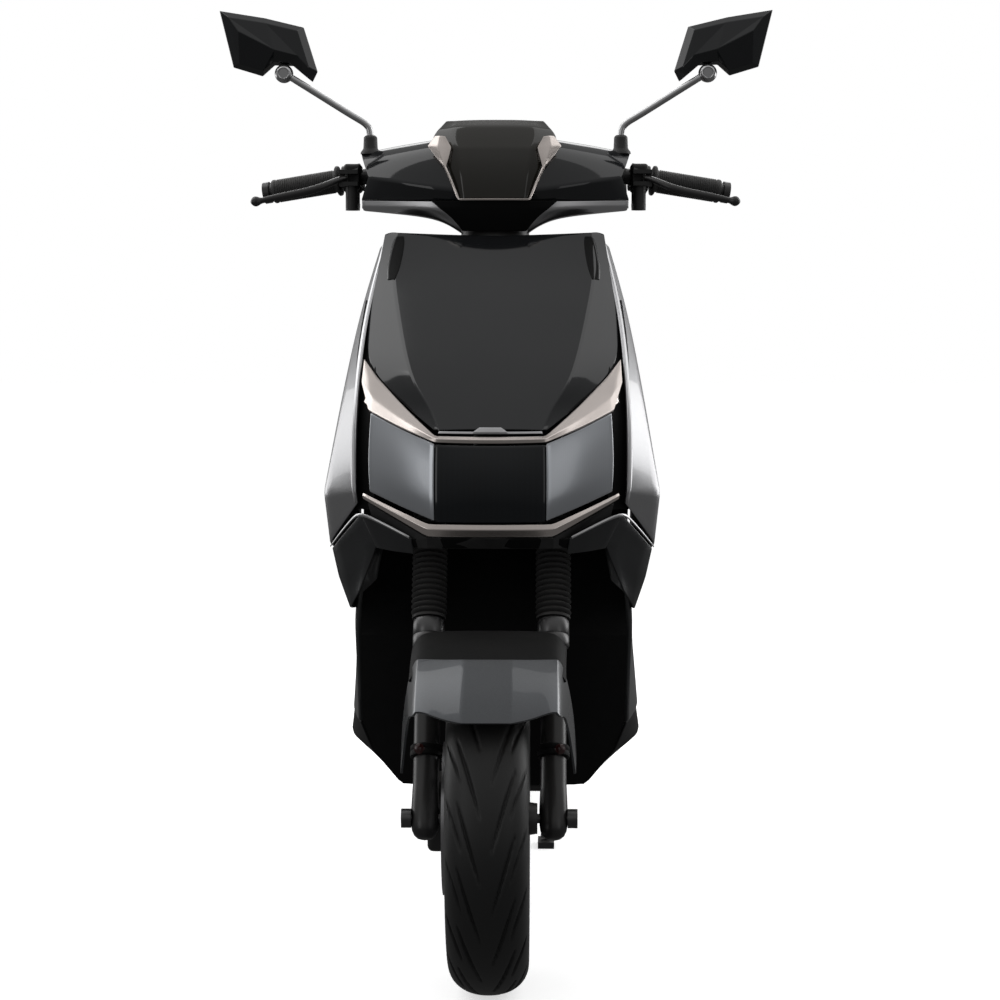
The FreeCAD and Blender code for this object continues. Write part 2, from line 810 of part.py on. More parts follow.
panel(
    "wheel_liner",
    [
        middle_sheet(
            [
                [(0, -428, 212), (60, -428, 212), (122, -428, 213)],
                [(0, -428, 258), (80, -428, 258), (161, -428, 259)],
                [(0, -428, 298), (88, -428, 298), (176, -428, 298)],
                [(0, -428, 415), (90, -428, 415), (179, -428, 415)],
                [(0, -403, 470), (88, -403, 470), (176, -412, 470)],
                [(0, -345, 585), (75, -345, 585), (150, -352, 585)],
            ]
        )
    ],
)
panel(
    "belly_pan",
    [
        middle_sheet(
            [
                [(0, 120, 206), (116, 120, 208), (146, 120, 250), (148, 120, 292)],
                [(0, 60, 206), (120, 60, 208), (172, 60, 256), (176, 60, 292)],
                [(0, -230, 206), (124, -230, 208), (209, -230, 262), (201, -230, 297)],
                [(0, -330, 207), (127, -330, 209), (198, -330, 262), (196, -330, 297)],
                [(0, -421, 209), (124, -421, 211), (164, -421, 259), (180, -421, 296)],
            ]
        )
    ]
    + side_sheets(
        [
            [(181, -420, 300), (198, -330, 300), (204, -262, 300)],
            [(184, -420, 398), (190, -340, 398), (192, -262, 398)],
            [(184, -420, 438), (188, -340, 438), (185, -262, 437)],
        ]
    ),
)

# ---------------------------------------------------------------------------------------------------------
# Rider's side of the leg shield, the floor and what lies under it
# ---------------------------------------------------------------------------------------------------------

shield_skin = middle_sheet(
    [
        [(0, -246, 914), (60, -244, 929), (112, -242, 941), (146, -242, 945)],
        [(0, -236, 864), (60, -236, 864), (112, -240, 864), (163, -246, 864)],
        [(0, -238, 732), (60, -238, 732), (118, -242, 732), (180, -252, 732)],
        [(0, -248, 600), (62, -248, 600), (124, -250, 600), (187, -258, 600)],
        [(0, -252, 440), (60, -252, 440), (120, -252, 440), (181, -260, 440)],
        [(0, -243, 334), (64, -243, 334), (128, -244, 334), (196, -256, 334)],
    ]
)
pocket_outer = Part.makeBox(124, 92, 136, Vector(28, -333, 640))
pocket_inner = Part.makeBox(118, 120, 130, Vector(31, -330, 643))
pocket_trim = Part.makeBox(200, 60, 200, Vector(0, -244, 600))
key_hole = Part.makeCylinder(9.2, 60, Vector(-72, -270, 800), Y_AXIS)
shield = shield_skin.fuse(pocket_outer.cut(pocket_trim)).cut(pocket_inner).cut(key_hole)
panel("leg_shield", [shield])

FLOOR_Y = -240
floor_plate = block(
    "floor_plate",
    ("dims.floor_width", "dims.floor_length", 5),
    (0, FLOOR_Y + num("dims.floor_length") / 2 + 1, num("dims.floor_height") - 2.5),
)
floor_edge = block("floor_edge", (14, "dims.floor_length", 20), (175, FLOOR_Y + 149, 321))
floor_ribs = [
    block(f"floor_rib_{number}", (284, 9, 4), (0, FLOOR_Y + 28 + 24 * number, num("dims.floor_height") + 1))
    for number in range(11)
]
subpart(fuse("floor_whole", floor_plate, *both_sides("floor_edges", [floor_edge]), *floor_ribs), "floorboard")
battery_box = block("battery_box", (196, 350, 82), (0, -112, 258))
subpart(rounded("battery_rounded", battery_box, 6), "battery")

# ---------------------------------------------------------------------------------------------------------
# Seat, storage and rear body
# ---------------------------------------------------------------------------------------------------------

bucket_outer = block("bucket_outer", (206, 290, 236), (0, 236, 572))
bucket_inner = block("bucket_inner", (200, 284, 240), (0, 236, 577))
bucket_hollow = cut("bucket_hollow", rounded("bucket_rounded", bucket_outer, 6), bucket_inner)

UNDER_SEAT_ROWS = [
    [(0, 66, 338), (70, 66, 338), (138, 72, 338)],
    [(0, 60, 500), (70, 60, 500), (140, 68, 500)],
    [(0, 44, 688), (66, 46, 688), (124, 56, 688)],
]
LOW_EDGE = [
    (144, 74, 338),
    (152, 190, 372),
    (158, 330, 470),
    (152, 480, 520),
    (126, 640, 560),
    (84, 768, 608),
]
WIDE_LINE = [
    (146, 70, 500),
    (160, 190, 540),
    (166, 330, 578),
    (158, 480, 600),
    (130, 640, 622),
    (86, 774, 640),
]
TOP_EDGE = [
    (130, 58, 688),
    (140, 190, 692),
    (146, 330, 694),
    (142, 480, 696),
    (118, 640, 698),
    (80, 770, 700),
]
GRAB_FOOT = Vector(104, 580, 650.1)
GRAB_ELBOW = Vector(153, 580, 670)
grab_hole = Part.makeCylinder(11.5, 70, GRAB_FOOT, GRAB_ELBOW - GRAB_FOOT)
rear_side = sheet_solid(*facets_of_rows([LOW_EDGE, WIDE_LINE, TOP_EDGE]), SKIN).cut(grab_hole)
panel("rear_body_panels", [middle_sheet(UNDER_SEAT_ROWS), rear_side, mirror_solid(rear_side)])

SEAT_Z = num("dims.seat_height")
SEAT_HINGE = Vector(0, 52, SEAT_Z + 4)
SEAT_EDGE = [(96, 66), (122, 190), (126, 420), (112, 610), (70, 700)]
seat_plate = padded(
    "seat_plate",
    SEAT_EDGE + [(-x, y) for x, y in reversed(SEAT_EDGE)],
    8,
    Placement(Vector(0, 0, SEAT_Z + 2), Rotation()),
)
seat_lug = block("seat_lug", (40, 22, 7), (0, 60, SEAT_Z + 5.5))
seat_barrel = cylinder("seat_barrel", 7, 40, SEAT_HINGE - X_AXIS * 20, X_AXIS)
seat_bore = cylinder("seat_bore", 3.05, 60, SEAT_HINGE - X_AXIS * 30, X_AXIS)
seat_base_whole = fuse("seat_base_whole", seat_plate, seat_lug, seat_barrel)
subpart(cut("seat_base_finished", seat_base_whole, seat_bore), "seat_base")

CUSHION_ROWS = [
    (74, 84, SEAT_Z + 40),
    (130, 112, SEAT_Z + 62),
    (230, 130, SEAT_Z + 68),
    (360, 134, SEAT_Z + 66),
    (430, 130, SEAT_Z + 74),
    (520, 122, SEAT_Z + 94),
    (620, 104, SEAT_Z + 92),
    (694, 62, SEAT_Z + 66),
]
cushion_sections = []
for along, half, top in CUSHION_ROWS:
    low = SEAT_Z + 10.4
    right = [(half, low), (half, top - 22), (half - 26, top)]
    corners = right + [(-x, z) for x, z in reversed(right)]
    ring = [Vector(x, along, z) for x, z in corners]
    cushion_sections.append(Part.makePolygon(ring + ring[:1]))
panel("seat_cushion", [Part.makeLoft(cushion_sections, True, True)])

hinge_cheek = block("hinge_cheek", (5, 20, 23), (25, 53, SEAT_Z + 0.5))
hinge_post = block("hinge_post", (5, 13, 24), (25, 56.5, SEAT_Z - 16))
hinge_foot = block("hinge_foot", (55, 43, 6), (0, 71.5, SEAT_Z - 25))
hinge_pin = cylinder("hinge_pin", 3, 55, SEAT_HINGE - X_AXIS * 27.5, X_AXIS)
subpart(
    fuse(
        "bucket_finished",
        bucket_hollow,
        *both_sides("hinge_sides", [hinge_cheek, hinge_post]),
        hinge_foot,
        hinge_pin,
    ),
    "storage_bucket",
)

GRAB_CORNER = Vector(84, 806, 782)
grab_side = tube_run("grab", 10, [GRAB_FOOT, GRAB_ELBOW, (148, 606, 742), (132, 740, 776), GRAB_CORNER])
grab_side.append(sphere("grab_corner", 10, GRAB_CORNER))
grab_bar = cylinder("grab_bar", 10, 168, (-84, 806, 782), X_AXIS)
subpart(fuse("grab_whole", grab_bar, *both_sides("grab_sides", grab_side)), "grab_rail")

TAIL_ROWS = [
    [(0, 786, 612), (44, 784, 612), (80, 772, 616)],
    [(0, 792, 650), (42, 790, 650), (78, 778, 654)],
    [(0, 788, 694), (40, 786, 694), (72, 774, 696)],
]
tail_lens = middle_sheet(list(reversed(TAIL_ROWS)), 8)
signals = []
for side in (1, -1):
    stalk = Part.makeCylinder(5, 40, Vector(side * 34, 862, 468), X_AXIS * side)
    body = Part.makeBox(46, 26, 26, Vector(-23, -13, -13))
    body = body.makeFillet(6, body.Edges)
    body.translate(Vector(side * 92, 862, 468))
    signals.append(stalk.fuse(body))
panel("rear_lights", [tail_lens] + signals)

fender_rows = [
    [(0, 780, 600), (40, 780, 600), (66, 774, 598)],
    [(0, 812, 560), (42, 812, 560), (68, 804, 556)],
    [(0, 850, 480), (28, 850, 480), (33, 850, 480)],
    [(0, 878, 400), (50, 878, 400), (78, 872, 398)],
    [(0, TAIL_Y - 3, 300), (60, TAIL_Y - 3, 300), (90, TAIL_Y - 3, 300)],
]
panel("rear_mudguard", [middle_sheet([[(-x, y, z) for x, y, z in row] for row in fender_rows])])

# ---------------------------------------------------------------------------------------------------------
# Stands, swingarm, rear wheel and shocks
# ---------------------------------------------------------------------------------------------------------

stand_tube = rod("stand_tube", 12, STAND - X_AXIS * 104, STAND + X_AXIS * 104)
FOOT = Vector(72, num("dims.stand_along - 24"), 0)
stand_leg = rod("stand_leg", 9, (86, STAND.y, STAND.z), (FOOT.x, FOOT.y, 12))
stand_foot = block("stand_foot", (26, 52, 10), FOOT + Z_AXIS * 5)
stand_brace = rod("stand_brace", 7, (-80, STAND.y - 9, 92), (80, STAND.y - 9, 92))
stand_bore = cylinder("stand_bore", 6.05, 240, STAND - X_AXIS * 120, X_AXIS)
stand_whole = fuse(
    "stand_whole", stand_tube, stand_brace, *both_sides("stand_sides", [stand_leg, stand_foot])
)
subpart(cut("stand_finished", stand_whole, stand_bore), "centre_stand")

prop_leg = rod("prop_leg", 8, PROP + Y_AXIS * 6, PROP + Vector(6, 182, 8))
prop_foot = block("prop_foot", (22, 40, 9), PROP + Vector(6, 180, 8))
prop_eye = cylinder("prop_eye", 14, 16, PROP - X_AXIS * 8, X_AXIS)
prop_bore = cylinder("prop_bore", 5.05, 40, PROP - X_AXIS * 20, X_AXIS)
subpart(cut("prop_finished", fuse("prop_whole", prop_leg, prop_foot, prop_eye), prop_bore), "side_stand")

ARM_OUTLINE = [
    (252, 216),
    (252, 248),
    (330, 262),
    (590, 242),
    ("dims.pivot_along + 378", 234),
    ("dims.pivot_along + 378", 200),
    (600, 196),
    (330, 204),
]
arm_plate = across("arm_plate", ARM_OUTLINE, ARM_X - 10, 20)
arm_foot_pin = rod("arm_foot_pin", 5, SHOCK_FOOT + X_AXIS * (ARM_X - 114), SHOCK_FOOT + X_AXIS * 15)
arm_foot_cap = rod("arm_foot_cap", 9, SHOCK_FOOT + X_AXIS * 15, SHOCK_FOOT + X_AXIS * 19)
arm_tube = cylinder("arm_tube", 17, 180, PIVOT - X_AXIS * 90, X_AXIS)
arm_bridge = block("arm_bridge", (180, 26, 34), (0, 342, 232))
arm_pivot_bore = cylinder(
    "arm_pivot_bore", "dims.motor_axle_radius + dims.running_gap", 240, PIVOT - X_AXIS * 120, X_AXIS
)
arm_axle_bore = cylinder(
    "arm_axle_bore", "dims.motor_axle_radius + dims.running_gap", 240, REAR_AXLE - X_AXIS * 120, X_AXIS
)
arm_whole = fuse(
    "arm_whole", arm_tube, arm_bridge, *both_sides("arm_sides", [arm_plate, arm_foot_pin, arm_foot_cap])
)
subpart(cut("arm_finished", arm_whole, arm_pivot_bore, arm_axle_bore), "swingarm")
rear_axle_bolt = bolt(
    "rear_axle_bolt",
    "dims.motor_axle_radius",
    15,
    REAR_AXLE - X_AXIS * 104.3,
    REAR_AXLE + X_AXIS * 104.3,
    12,
)
subpart(rear_axle_bolt, "rear_axle")
subpart(turned("rear_tyre_ring", TYRE_PROFILE, REAR_AXLE), "rear_tyre")
MOTOR_PROFILE = [
    (-80, "dims.motor_axle_radius + dims.running_gap"),
    (-80, 19),
    (-56, 24),
    (-50, 96),
    (-46, 112),
    (-38, "dims.bead_radius - 10"),
    (-38, "dims.bead_radius + 10"),
    (-34.5, "dims.bead_radius + 9"),
    (-33.5, "dims.bead_radius + 0.5"),
    (-20, "dims.bead_radius - 8"),
    (20, "dims.bead_radius - 8"),
    (33.5, "dims.bead_radius + 0.5"),
    (34.5, "dims.bead_radius + 9"),
    (38, "dims.bead_radius + 10"),
    (38, "dims.bead_radius - 10"),
    (46, 112),
    (50, 96),
    (56, 24),
    (80, 19),
    (80, "dims.motor_axle_radius + dims.running_gap"),
]
subpart(turned("motor_drum", MOTOR_PROFILE, REAR_AXLE), "hub_motor")

SHOCK_LINE = (SHOCK_FOOT - SHOCK_TOP).normalize()


def shock_rod(name, radius, start, end):
    """A cylinder on the shock's line, from one distance below its upper eye to another."""
    return rod(name, radius, SHOCK_TOP + SHOCK_LINE * start, SHOCK_TOP + SHOCK_LINE * end)


upper_eye = cylinder("upper_eye", 13, 22, SHOCK_TOP - X_AXIS * 10, X_AXIS)
upper_eye_bore = cylinder("upper_eye_bore", 5.05, 60, SHOCK_TOP - X_AXIS * 30, X_AXIS)
tube_whole = fuse(
    "tube_whole",
    upper_eye,
    shock_rod("tube_neck", 9, 6, 34),
    shock_rod("tube_seat", 25, 28, 34),
    shock_rod("tube_body", 15, 30, 168),
)
tube_bore = shock_rod("tube_bore", 6.05, 60, 200)
subpart(pair("both_shock_tubes", cut("tube_finished", tube_whole, upper_eye_bore, tube_bore)), "shock_tubes")
SHOCK_LENGTH = (SHOCK_FOOT - SHOCK_TOP).Length
lower_eye = cylinder("lower_eye", 14, 22, SHOCK_FOOT - X_AXIS * 10, X_AXIS)
lower_eye_bore = cylinder("lower_eye_bore", 7.5, 60, SHOCK_FOOT - X_AXIS * 30, X_AXIS)
rod_whole = fuse(
    "rod_whole",
    lower_eye,
    shock_rod("rod_seat", 25, SHOCK_LENGTH - 24, SHOCK_LENGTH - 18),
    shock_rod("rod_foot", 11, SHOCK_LENGTH - 24, SHOCK_LENGTH - 9),
    shock_rod("rod_shaft", 6, 115, SHOCK_LENGTH - 12),
)
subpart(pair("both_shock_rods", cut("rod_finished", rod_whole, lower_eye_bore)), "shock_rods")
COIL_START, COIL_END = 39, SHOCK_LENGTH - 29
coil_path = Part.makeHelix((COIL_END - COIL_START) / 8, COIL_END - COIL_START, 20.5)
coil_ring = Part.Wire(Part.makeCircle(3.6, Vector(20.5, 0, 0), Y_AXIS))
coil = Part.Wire(coil_path).makePipeShell([coil_ring], True, True)
coil.Placement = Placement(SHOCK_TOP + SHOCK_LINE * COIL_START, Rotation(Z_AXIS, SHOCK_LINE))
panel("shock_springs", [coil, mirror_solid(coil)])

# ---------------------------------------------------------------------------------------------------------
# Handlebar and what it carries
# ---------------------------------------------------------------------------------------------------------

BAR_BEND = Vector(180, -237.3, 1038.3)
BAR_END = Vector(325, -215, 1016)
ALONG_BAR = (BAR_END - BAR_BEND).normalize()


def on_bar(across_x):
    """The point on the bar's straight end at this distance from the middle of the scooter."""
    return BAR_BEND + ALONG_BAR * ((across_x - BAR_BEND.x) / ALONG_BAR.x)


bar_half = tube_run(
    "bar",
    "dims.handlebar_radius",
    [(0, -266, 1003), (58, -264, 1004), (124, -247, 1038), BAR_BEND, on_bar(319)],
)
bar_clamp = rod("bar_clamp", 22, in_fork(0, 0, 842), in_fork(0, 0, 902))
bar_clamp_bore = rod(
    "bar_clamp_bore", "dims.steerer_radius + dims.running_gap", in_fork(0, 0, 838), in_fork(0, 0, 867)
)
bar_weight = rod("bar_weight", 15, on_bar(318.3), on_bar(327))
bar_whole = fuse("bar_whole", *both_sides("bar_sides", bar_half + [bar_weight]), bar_clamp)
subpart(cut("bar_finished", bar_whole, bar_clamp_bore), "handlebar")

bar_room = rod("bar_room", "dims.handlebar_radius + dims.running_gap", on_bar(150), on_bar(330))


def grip(name, start, end):
    return cut(
        name,
        fuse(
            name + "_whole",
            rod(name + "_body", "dims.grip_radius", on_bar(start), on_bar(end)),
            rod(name + "_flange", 21, on_bar(start), on_bar(start + 4)),
        ),
        bar_room,
    )


subpart(grip("grip_body", 218.5, 316), "grip_left")
subpart(mirrored("throttle_body", grip("throttle_source", 218.5, 316)), "throttle_grip")

LEVER_PIVOT = Vector(206, -272, 1034)
housing_body = rod("housing_body", 19.5, on_bar(188.5), on_bar(212.5))
perch_body = block("perch_body", (26, 34, 22), (204, -263, 1034))
perch_slot = block("perch_slot", (60, 40, 11), (218, -282, 1034))
perch_pin = rod("perch_pin", 2.5, LEVER_PIVOT - Z_AXIS * 10, LEVER_PIVOT + Z_AXIS * 10)
switch_body = block("switch_body", (25, 36, 40), on_bar(200.5) + Vector(0, 2, 0))
perch_boss = cylinder("perch_boss", 10, 36, (199, -262, 989.5), Z_AXIS)
housing_whole = fuse(
    "housing_whole", rounded("switch_rounded", switch_body, 5), housing_body, perch_body, perch_boss
)
housing_solid = cut("housing_solid", housing_whole, perch_slot, bar_room)
housing_left = fuse("housing_left", housing_solid, perch_pin)
BUTTON = on_bar(200.5) + Vector(0, 12, 6)
button_hole = cylinder("button_hole", 5.05, 30, BUTTON, Y_AXIS)
toggle_hole = block("toggle_hole", (14.2, 30, 5.2), BUTTON + Vector(0, 15, -14))
subpart(
    group(
        "both_housings",
        cut("left_housing_finished", housing_left, button_hole, toggle_hole),
        mirrored("right_housing_finished", housing_left),
    ),
    "switch_housings",
)
button = cylinder("button", 5, 12, BUTTON + Y_AXIS * 3.2, Y_AXIS)
subpart(button, "horn_button")
subpart(block("toggle", (8, 12, 5), BUTTON + Vector(0, 9.2, -14)), "indicator_switch")


def lever(name):
    """A brake lever on the +X side: an eye on the perch's pin, a blade and the ball at its end."""
    eye = cylinder(name + "_eye", 8, 8, LEVER_PIVOT - Z_AXIS * 4, Z_AXIS)
    bends = [Vector(5, -3, 0), Vector(34, -26, -5), Vector(120, -29, -31)]
    blade = tube_run(name, 4, [LEVER_PIVOT + bend for bend in bends])
    ball = sphere(name + "_ball", 8, LEVER_PIVOT + Vector(124, -29, -32))
    bore = cylinder(name + "_bore", 2.55, 30, LEVER_PIVOT - Z_AXIS * 15, Z_AXIS)
    return cut(name, fuse(name + "_whole", eye, *blade, ball), bore)


subpart(lever("lever_body"), "lever_left")
subpart(mirrored("lever_right_body", lever("lever_source")), "lever_right")

panel(
    "headset_cover",
    [
        middle_sheet(
            [
                [(0, -360, 1001), (49, -358, 1000), (93, -346, 1001), (140, -325, 1004), (185, -299, 1009)],
                [(0, -341, 1069), (49, -339, 1069), (93, -328, 1067), (140, -309, 1064), (185, -288, 1060)],
                [(0, -300, 1096), (49, -300, 1094), (93, -296, 1084), (140, -278, 1079), (185, -262, 1072)],
                [(0, -232, 1086), (49, -230, 1084), (93, -226, 1080), (140, -218, 1075), (185, -214, 1068)],
                [(0, -206, 1040), (49, -206, 1040), (93, -204, 1040), (140, -202, 1037), (185, -203, 1032)],
            ]
        )
    ],
)
shell_sheet = middle_sheet(
    [
        [(0, -209, 1035), (49, -209, 1035), (93, -207, 1035), (140, -205, 1032), (184, -206, 1027)],
        [(0, -222, 978), (49, -222, 978), (93, -222, 990), (140, -224, 1002), (184, -228, 1008)],
        [(0, -345, 973), (49, -343, 973), (93, -332, 979), (140, -312, 986), (184, -290, 991)],
        [(0, -356, 996), (49, -354, 995), (93, -342, 996), (140, -321, 999), (184, -296, 1003)],
    ]
)
neck_hole = Part.makeCylinder(43, 200, in_fork(0, 0, 760), ALONG_FORK)
neck = Part.makeCylinder(47, 68, in_fork(0, 0, 812), ALONG_FORK).cut(neck_hole)
panel("headset_shell", [shell_sheet.cut(neck_hole).fuse(neck)])
panel(
    "visor",
    [
        middle_sheet(
            [
                [(0, -369, 1000), (25, -368, 1000), (47, -364, 1000)],
                [(0, -362, 1050), (33, -361, 1050), (66, -352, 1050)],
                [(0, -347, 1084), (42, -345, 1084), (86, -327, 1084)],
                [(0, -334, 1101), (40, -332, 1101), (78, -318, 1097)],
                [(0, -308, 1112), (34, -307, 1112), (66, -303, 1110)],
            ]
        )
    ],
)
panel(
    "visor_trim",
    side_sheets(
        [
            [(48.5, -366.5, 1000), (51, -365.5, 1000)],
            [(67, -356, 1046), (70, -354.5, 1046)],
            [(59, -357, 1070), (91, -339, 1073)],
            [(68, -347, 1086), (81, -338, 1086)],
        ],
        2,
    ),
)
display_plate = block("display_plate", (112, 58, 6), (0, -266, 1097), Rotation(X_AXIS, -8.4))
subpart(rounded("display_rounded", display_plate, 2.5), "display")

TILT_PIN = Vector(288, -262, 1158)
stem_base = cylinder("stem_base", 12, 16, (172, -262, 1075.5), Z_AXIS)
stem_low = rod("stem_low", 5.5, (172, -262, 1088), (179, -262, 1108))
stem_joint = sphere("stem_joint", 5.5, (179, -262, 1108))
stem_high = rod("stem_high", 5.5, (179, -262, 1108), TILT_PIN - Vector(12, 0, 2))
stem_knuckle = sphere("stem_knuckle", 9, TILT_PIN - Vector(17, 0, 3))
tilt_pin = cylinder("tilt_pin", 4, 26, TILT_PIN - X_AXIS * 12, X_AXIS)
tilt_cap = cylinder("tilt_cap", 6, 3, TILT_PIN + X_AXIS * 11, X_AXIS)
stem = fuse("stem", stem_base, stem_low, stem_joint, stem_high, stem_knuckle, tilt_pin, tilt_cap)
subpart(pair("both_stems", stem), "mirror_stems")
MIRROR_OUTLINE = [(384, 1264), (266, 1237), (247, 1188), (258, 1169), (324, 1176), (366, 1188)]
MIRROR_TURN = Rotation(X_AXIS, 90)


def mirror_head(name):
    """A mirror's housing on the +X side, hollowed for its glass, with the lug that tilts on the stem."""
    shell = padded(name + "_shell", MIRROR_OUTLINE, 26, Placement(Vector(0, -247, 0), MIRROR_TURN))
    inner = [(310 + (x - 310) * 0.93, 1211 + (z - 1211) * 0.9) for x, z in MIRROR_OUTLINE]
    room = padded(name + "_room", inner, 8, Placement(Vector(0, -246, 0), MIRROR_TURN))
    lug = cylinder(name + "_lug", 8, 13, TILT_PIN - X_AXIS * 3.5, X_AXIS)
    neck = block(name + "_neck", (13, 9, 20), TILT_PIN + Vector(3, 0, 12))
    bore = cylinder(name + "_bore", 4.05, 40, TILT_PIN - X_AXIS * 20, X_AXIS)
    return cut(name, fuse(name + "_whole", shell, lug, neck), room, bore)


def mirror_glass(name):
    inner = [(310 + (x - 310) * 0.925, 1211 + (z - 1211) * 0.893) for x, z in MIRROR_OUTLINE]
    return padded(name, inner, 4, Placement(Vector(0, -249, 0), MIRROR_TURN))


head_and_glass = group("head_and_glass", mirror_head("head"), mirror_glass("glass"))
subpart(head_and_glass, "mirror_left")
other_head_and_glass = group("other_head_and_glass", mirror_head("other_head"), mirror_glass("other_glass"))
subpart(mirrored("mirror_right_whole", other_head_and_glass), "mirror_right")

key_barrel = cylinder("key_barrel", 9.1, 10, (-72, -242, 800), Y_AXIS)
key_bow = block("key_bow", (7, 22, 24), (-72, -222, 800))
subpart(fuse("key_whole", rounded("key_rounded", key_bow, 3), key_barrel), "ignition_key")

# ---------------------------------------------------------------------------------------------------------
# Checks and files
# ---------------------------------------------------------------------------------------------------------

doc.recompute()
for thing in doc.Objects:
    if "Invalid" in thing.State or "Error" in thing.State:
        raise RuntimeError(f"{thing.Name} did not compute: {thing.State}")

os.makedirs("parts", exist_ok=True)
for thing in SUBPARTS:
    shape = thing.Shape
    if shape.isNull() or not shape.isValid() or not shape.Solids:
        raise RuntimeError(f"{thing.Label} has no valid solid")
    if min(solid.Volume for solid in shape.Solids) <= 0:
        raise RuntimeError(f"{thing.Label} has a solid turned inside out")
    shape.exportStep(f"parts/{thing.Label}.step")
print(f"{len(SUBPARTS)} sub-parts written")
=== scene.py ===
# %% [markdown]
# # An electric moped scooter, from a plain CAD model to a finished look
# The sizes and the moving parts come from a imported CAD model, which this script loads as a fixed frame. Blender
# only gives it looks: finer skins over the plain panels, a tread, a padded seat, and a material for every piece.
# Lengths are written in millimetres, as on a workshop drawing, and one factor turns them into Blender's metres. Only
# the lights, the floor and the camera are placed in metres.

# %% Load the fixed frame
import math

import bmesh
import bpy
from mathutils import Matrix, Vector


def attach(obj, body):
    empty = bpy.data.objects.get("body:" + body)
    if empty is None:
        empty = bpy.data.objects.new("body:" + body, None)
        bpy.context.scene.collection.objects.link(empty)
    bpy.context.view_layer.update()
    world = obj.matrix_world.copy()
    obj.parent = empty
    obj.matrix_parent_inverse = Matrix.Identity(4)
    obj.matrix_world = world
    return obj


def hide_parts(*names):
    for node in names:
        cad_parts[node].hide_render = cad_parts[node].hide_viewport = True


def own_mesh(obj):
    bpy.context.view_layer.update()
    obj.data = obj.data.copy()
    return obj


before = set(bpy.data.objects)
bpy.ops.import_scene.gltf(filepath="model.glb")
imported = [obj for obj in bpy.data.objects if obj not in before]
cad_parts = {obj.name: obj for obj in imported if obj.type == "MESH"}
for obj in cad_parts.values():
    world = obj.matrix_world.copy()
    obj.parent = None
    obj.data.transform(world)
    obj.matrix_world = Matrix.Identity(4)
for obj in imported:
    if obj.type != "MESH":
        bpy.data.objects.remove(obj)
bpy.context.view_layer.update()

MM = 0.001
SIDES = ((1, "left"), (-1, "right"))

# %% [markdown]
# ## Effects shared by many finishes
# A real finish is never one flat value. Moulded plastic has a fine grain, paint is rubbed a little brighter along
# its edges, dust settles on what faces up, and metallic paint sparkles. Each effect is a node group, built once
# and placed in each material with its own numbers. The groups put out only masks and heights, so that each
# material keeps its own shader.

# %% A helper that starts a node group
def start_group(title, inputs, outputs):
    """A node group with float inputs (name, default) and float outputs."""
    group = bpy.data.node_groups.new(title, "ShaderNodeTree")
    for name, default in inputs:
        socket = group.interface.new_socket(name, in_out="INPUT", socket_type="NodeSocketFloat")
        socket.default_value = default
    for name in outputs:
        group.interface.new_socket(name, in_out="OUTPUT", socket_type="NodeSocketFloat")
    entry = group.nodes.new("NodeGroupInput")
    leave = group.nodes.new("NodeGroupOutput")
    return group, entry, leave


def math_node(group, operation, first, second=None, clamp=False):
    """A math node fed by sockets or plain numbers."""
    node = group.nodes.new("ShaderNodeMath")
    node.operation = operation
    node.use_clamp = clamp
    for index, value in enumerate((first, second)):
        if value is None:
            continue
        if isinstance(value, (int, float)):
            node.inputs[index].default_value = value
        else:
            group.links.new(value, node.inputs[index])
    return node.outputs[0]


def noise_node(group, scale, detail=3.0):
    """Noise over the object's own coordinates; scale is a socket or a number."""
    place = group.nodes.new("ShaderNodeTexCoord")
    noise = group.nodes.new("ShaderNodeTexNoise")
    noise.inputs["Detail"].default_value = detail
    group.links.new(place.outputs["Object"], noise.inputs["Vector"])
    if isinstance(scale, (int, float)):
        noise.inputs["Scale"].default_value = scale
    else:
        group.links.new(scale, noise.inputs["Scale"])
    return noise.outputs["Fac"]


# %% Edge wear: bright where an edge sticks out
edge_wear, entry, leave = start_group("edge_wear", [("Amount", 0.5), ("Scale", 60.0)], ["Mask"])
geometry = edge_wear.nodes.new("ShaderNodeNewGeometry")
sharp = math_node(edge_wear, "SUBTRACT", geometry.outputs["Pointiness"], 0.515)
sharp = math_node(edge_wear, "MULTIPLY", sharp, 16.0, clamp=True)
patchy = math_node(edge_wear, "MULTIPLY", sharp, noise_node(edge_wear, entry.outputs["Scale"]))
worn = math_node(edge_wear, "MULTIPLY", patchy, entry.outputs["Amount"], clamp=True)
edge_wear.links.new(worn, leave.inputs["Mask"])

# %% Dust: thicker on what faces up, in soft patches
dust_film, entry, leave = start_group("dust_film", [("Amount", 0.2)], ["Mask"])
geometry = dust_film.nodes.new("ShaderNodeNewGeometry")
parts = dust_film.nodes.new("ShaderNodeSeparateXYZ")
dust_film.links.new(geometry.outputs["Normal"], parts.inputs[0])
upward = math_node(dust_film, "MULTIPLY", parts.outputs["Z"], 0.8, clamp=True)
lying = math_node(dust_film, "ADD", upward, 0.25)
soft = math_node(dust_film, "MULTIPLY", lying, noise_node(dust_film, 14.0, 5.0))
dusty = math_node(dust_film, "MULTIPLY", soft, entry.outputs["Amount"], clamp=True)
dust_film.links.new(dusty, leave.inputs["Mask"])

# %% Grain: the fine spark-eroded texture of moulded plastic
moulded_grain, entry, leave = start_group("moulded_grain", [("Scale", 900.0)], ["Height", "Patches"])
moulded_grain.links.new(noise_node(moulded_grain, entry.outputs["Scale"], 2.0), leave.inputs["Height"])
moulded_grain.links.new(noise_node(moulded_grain, 9.0, 4.0), leave.inputs["Patches"])

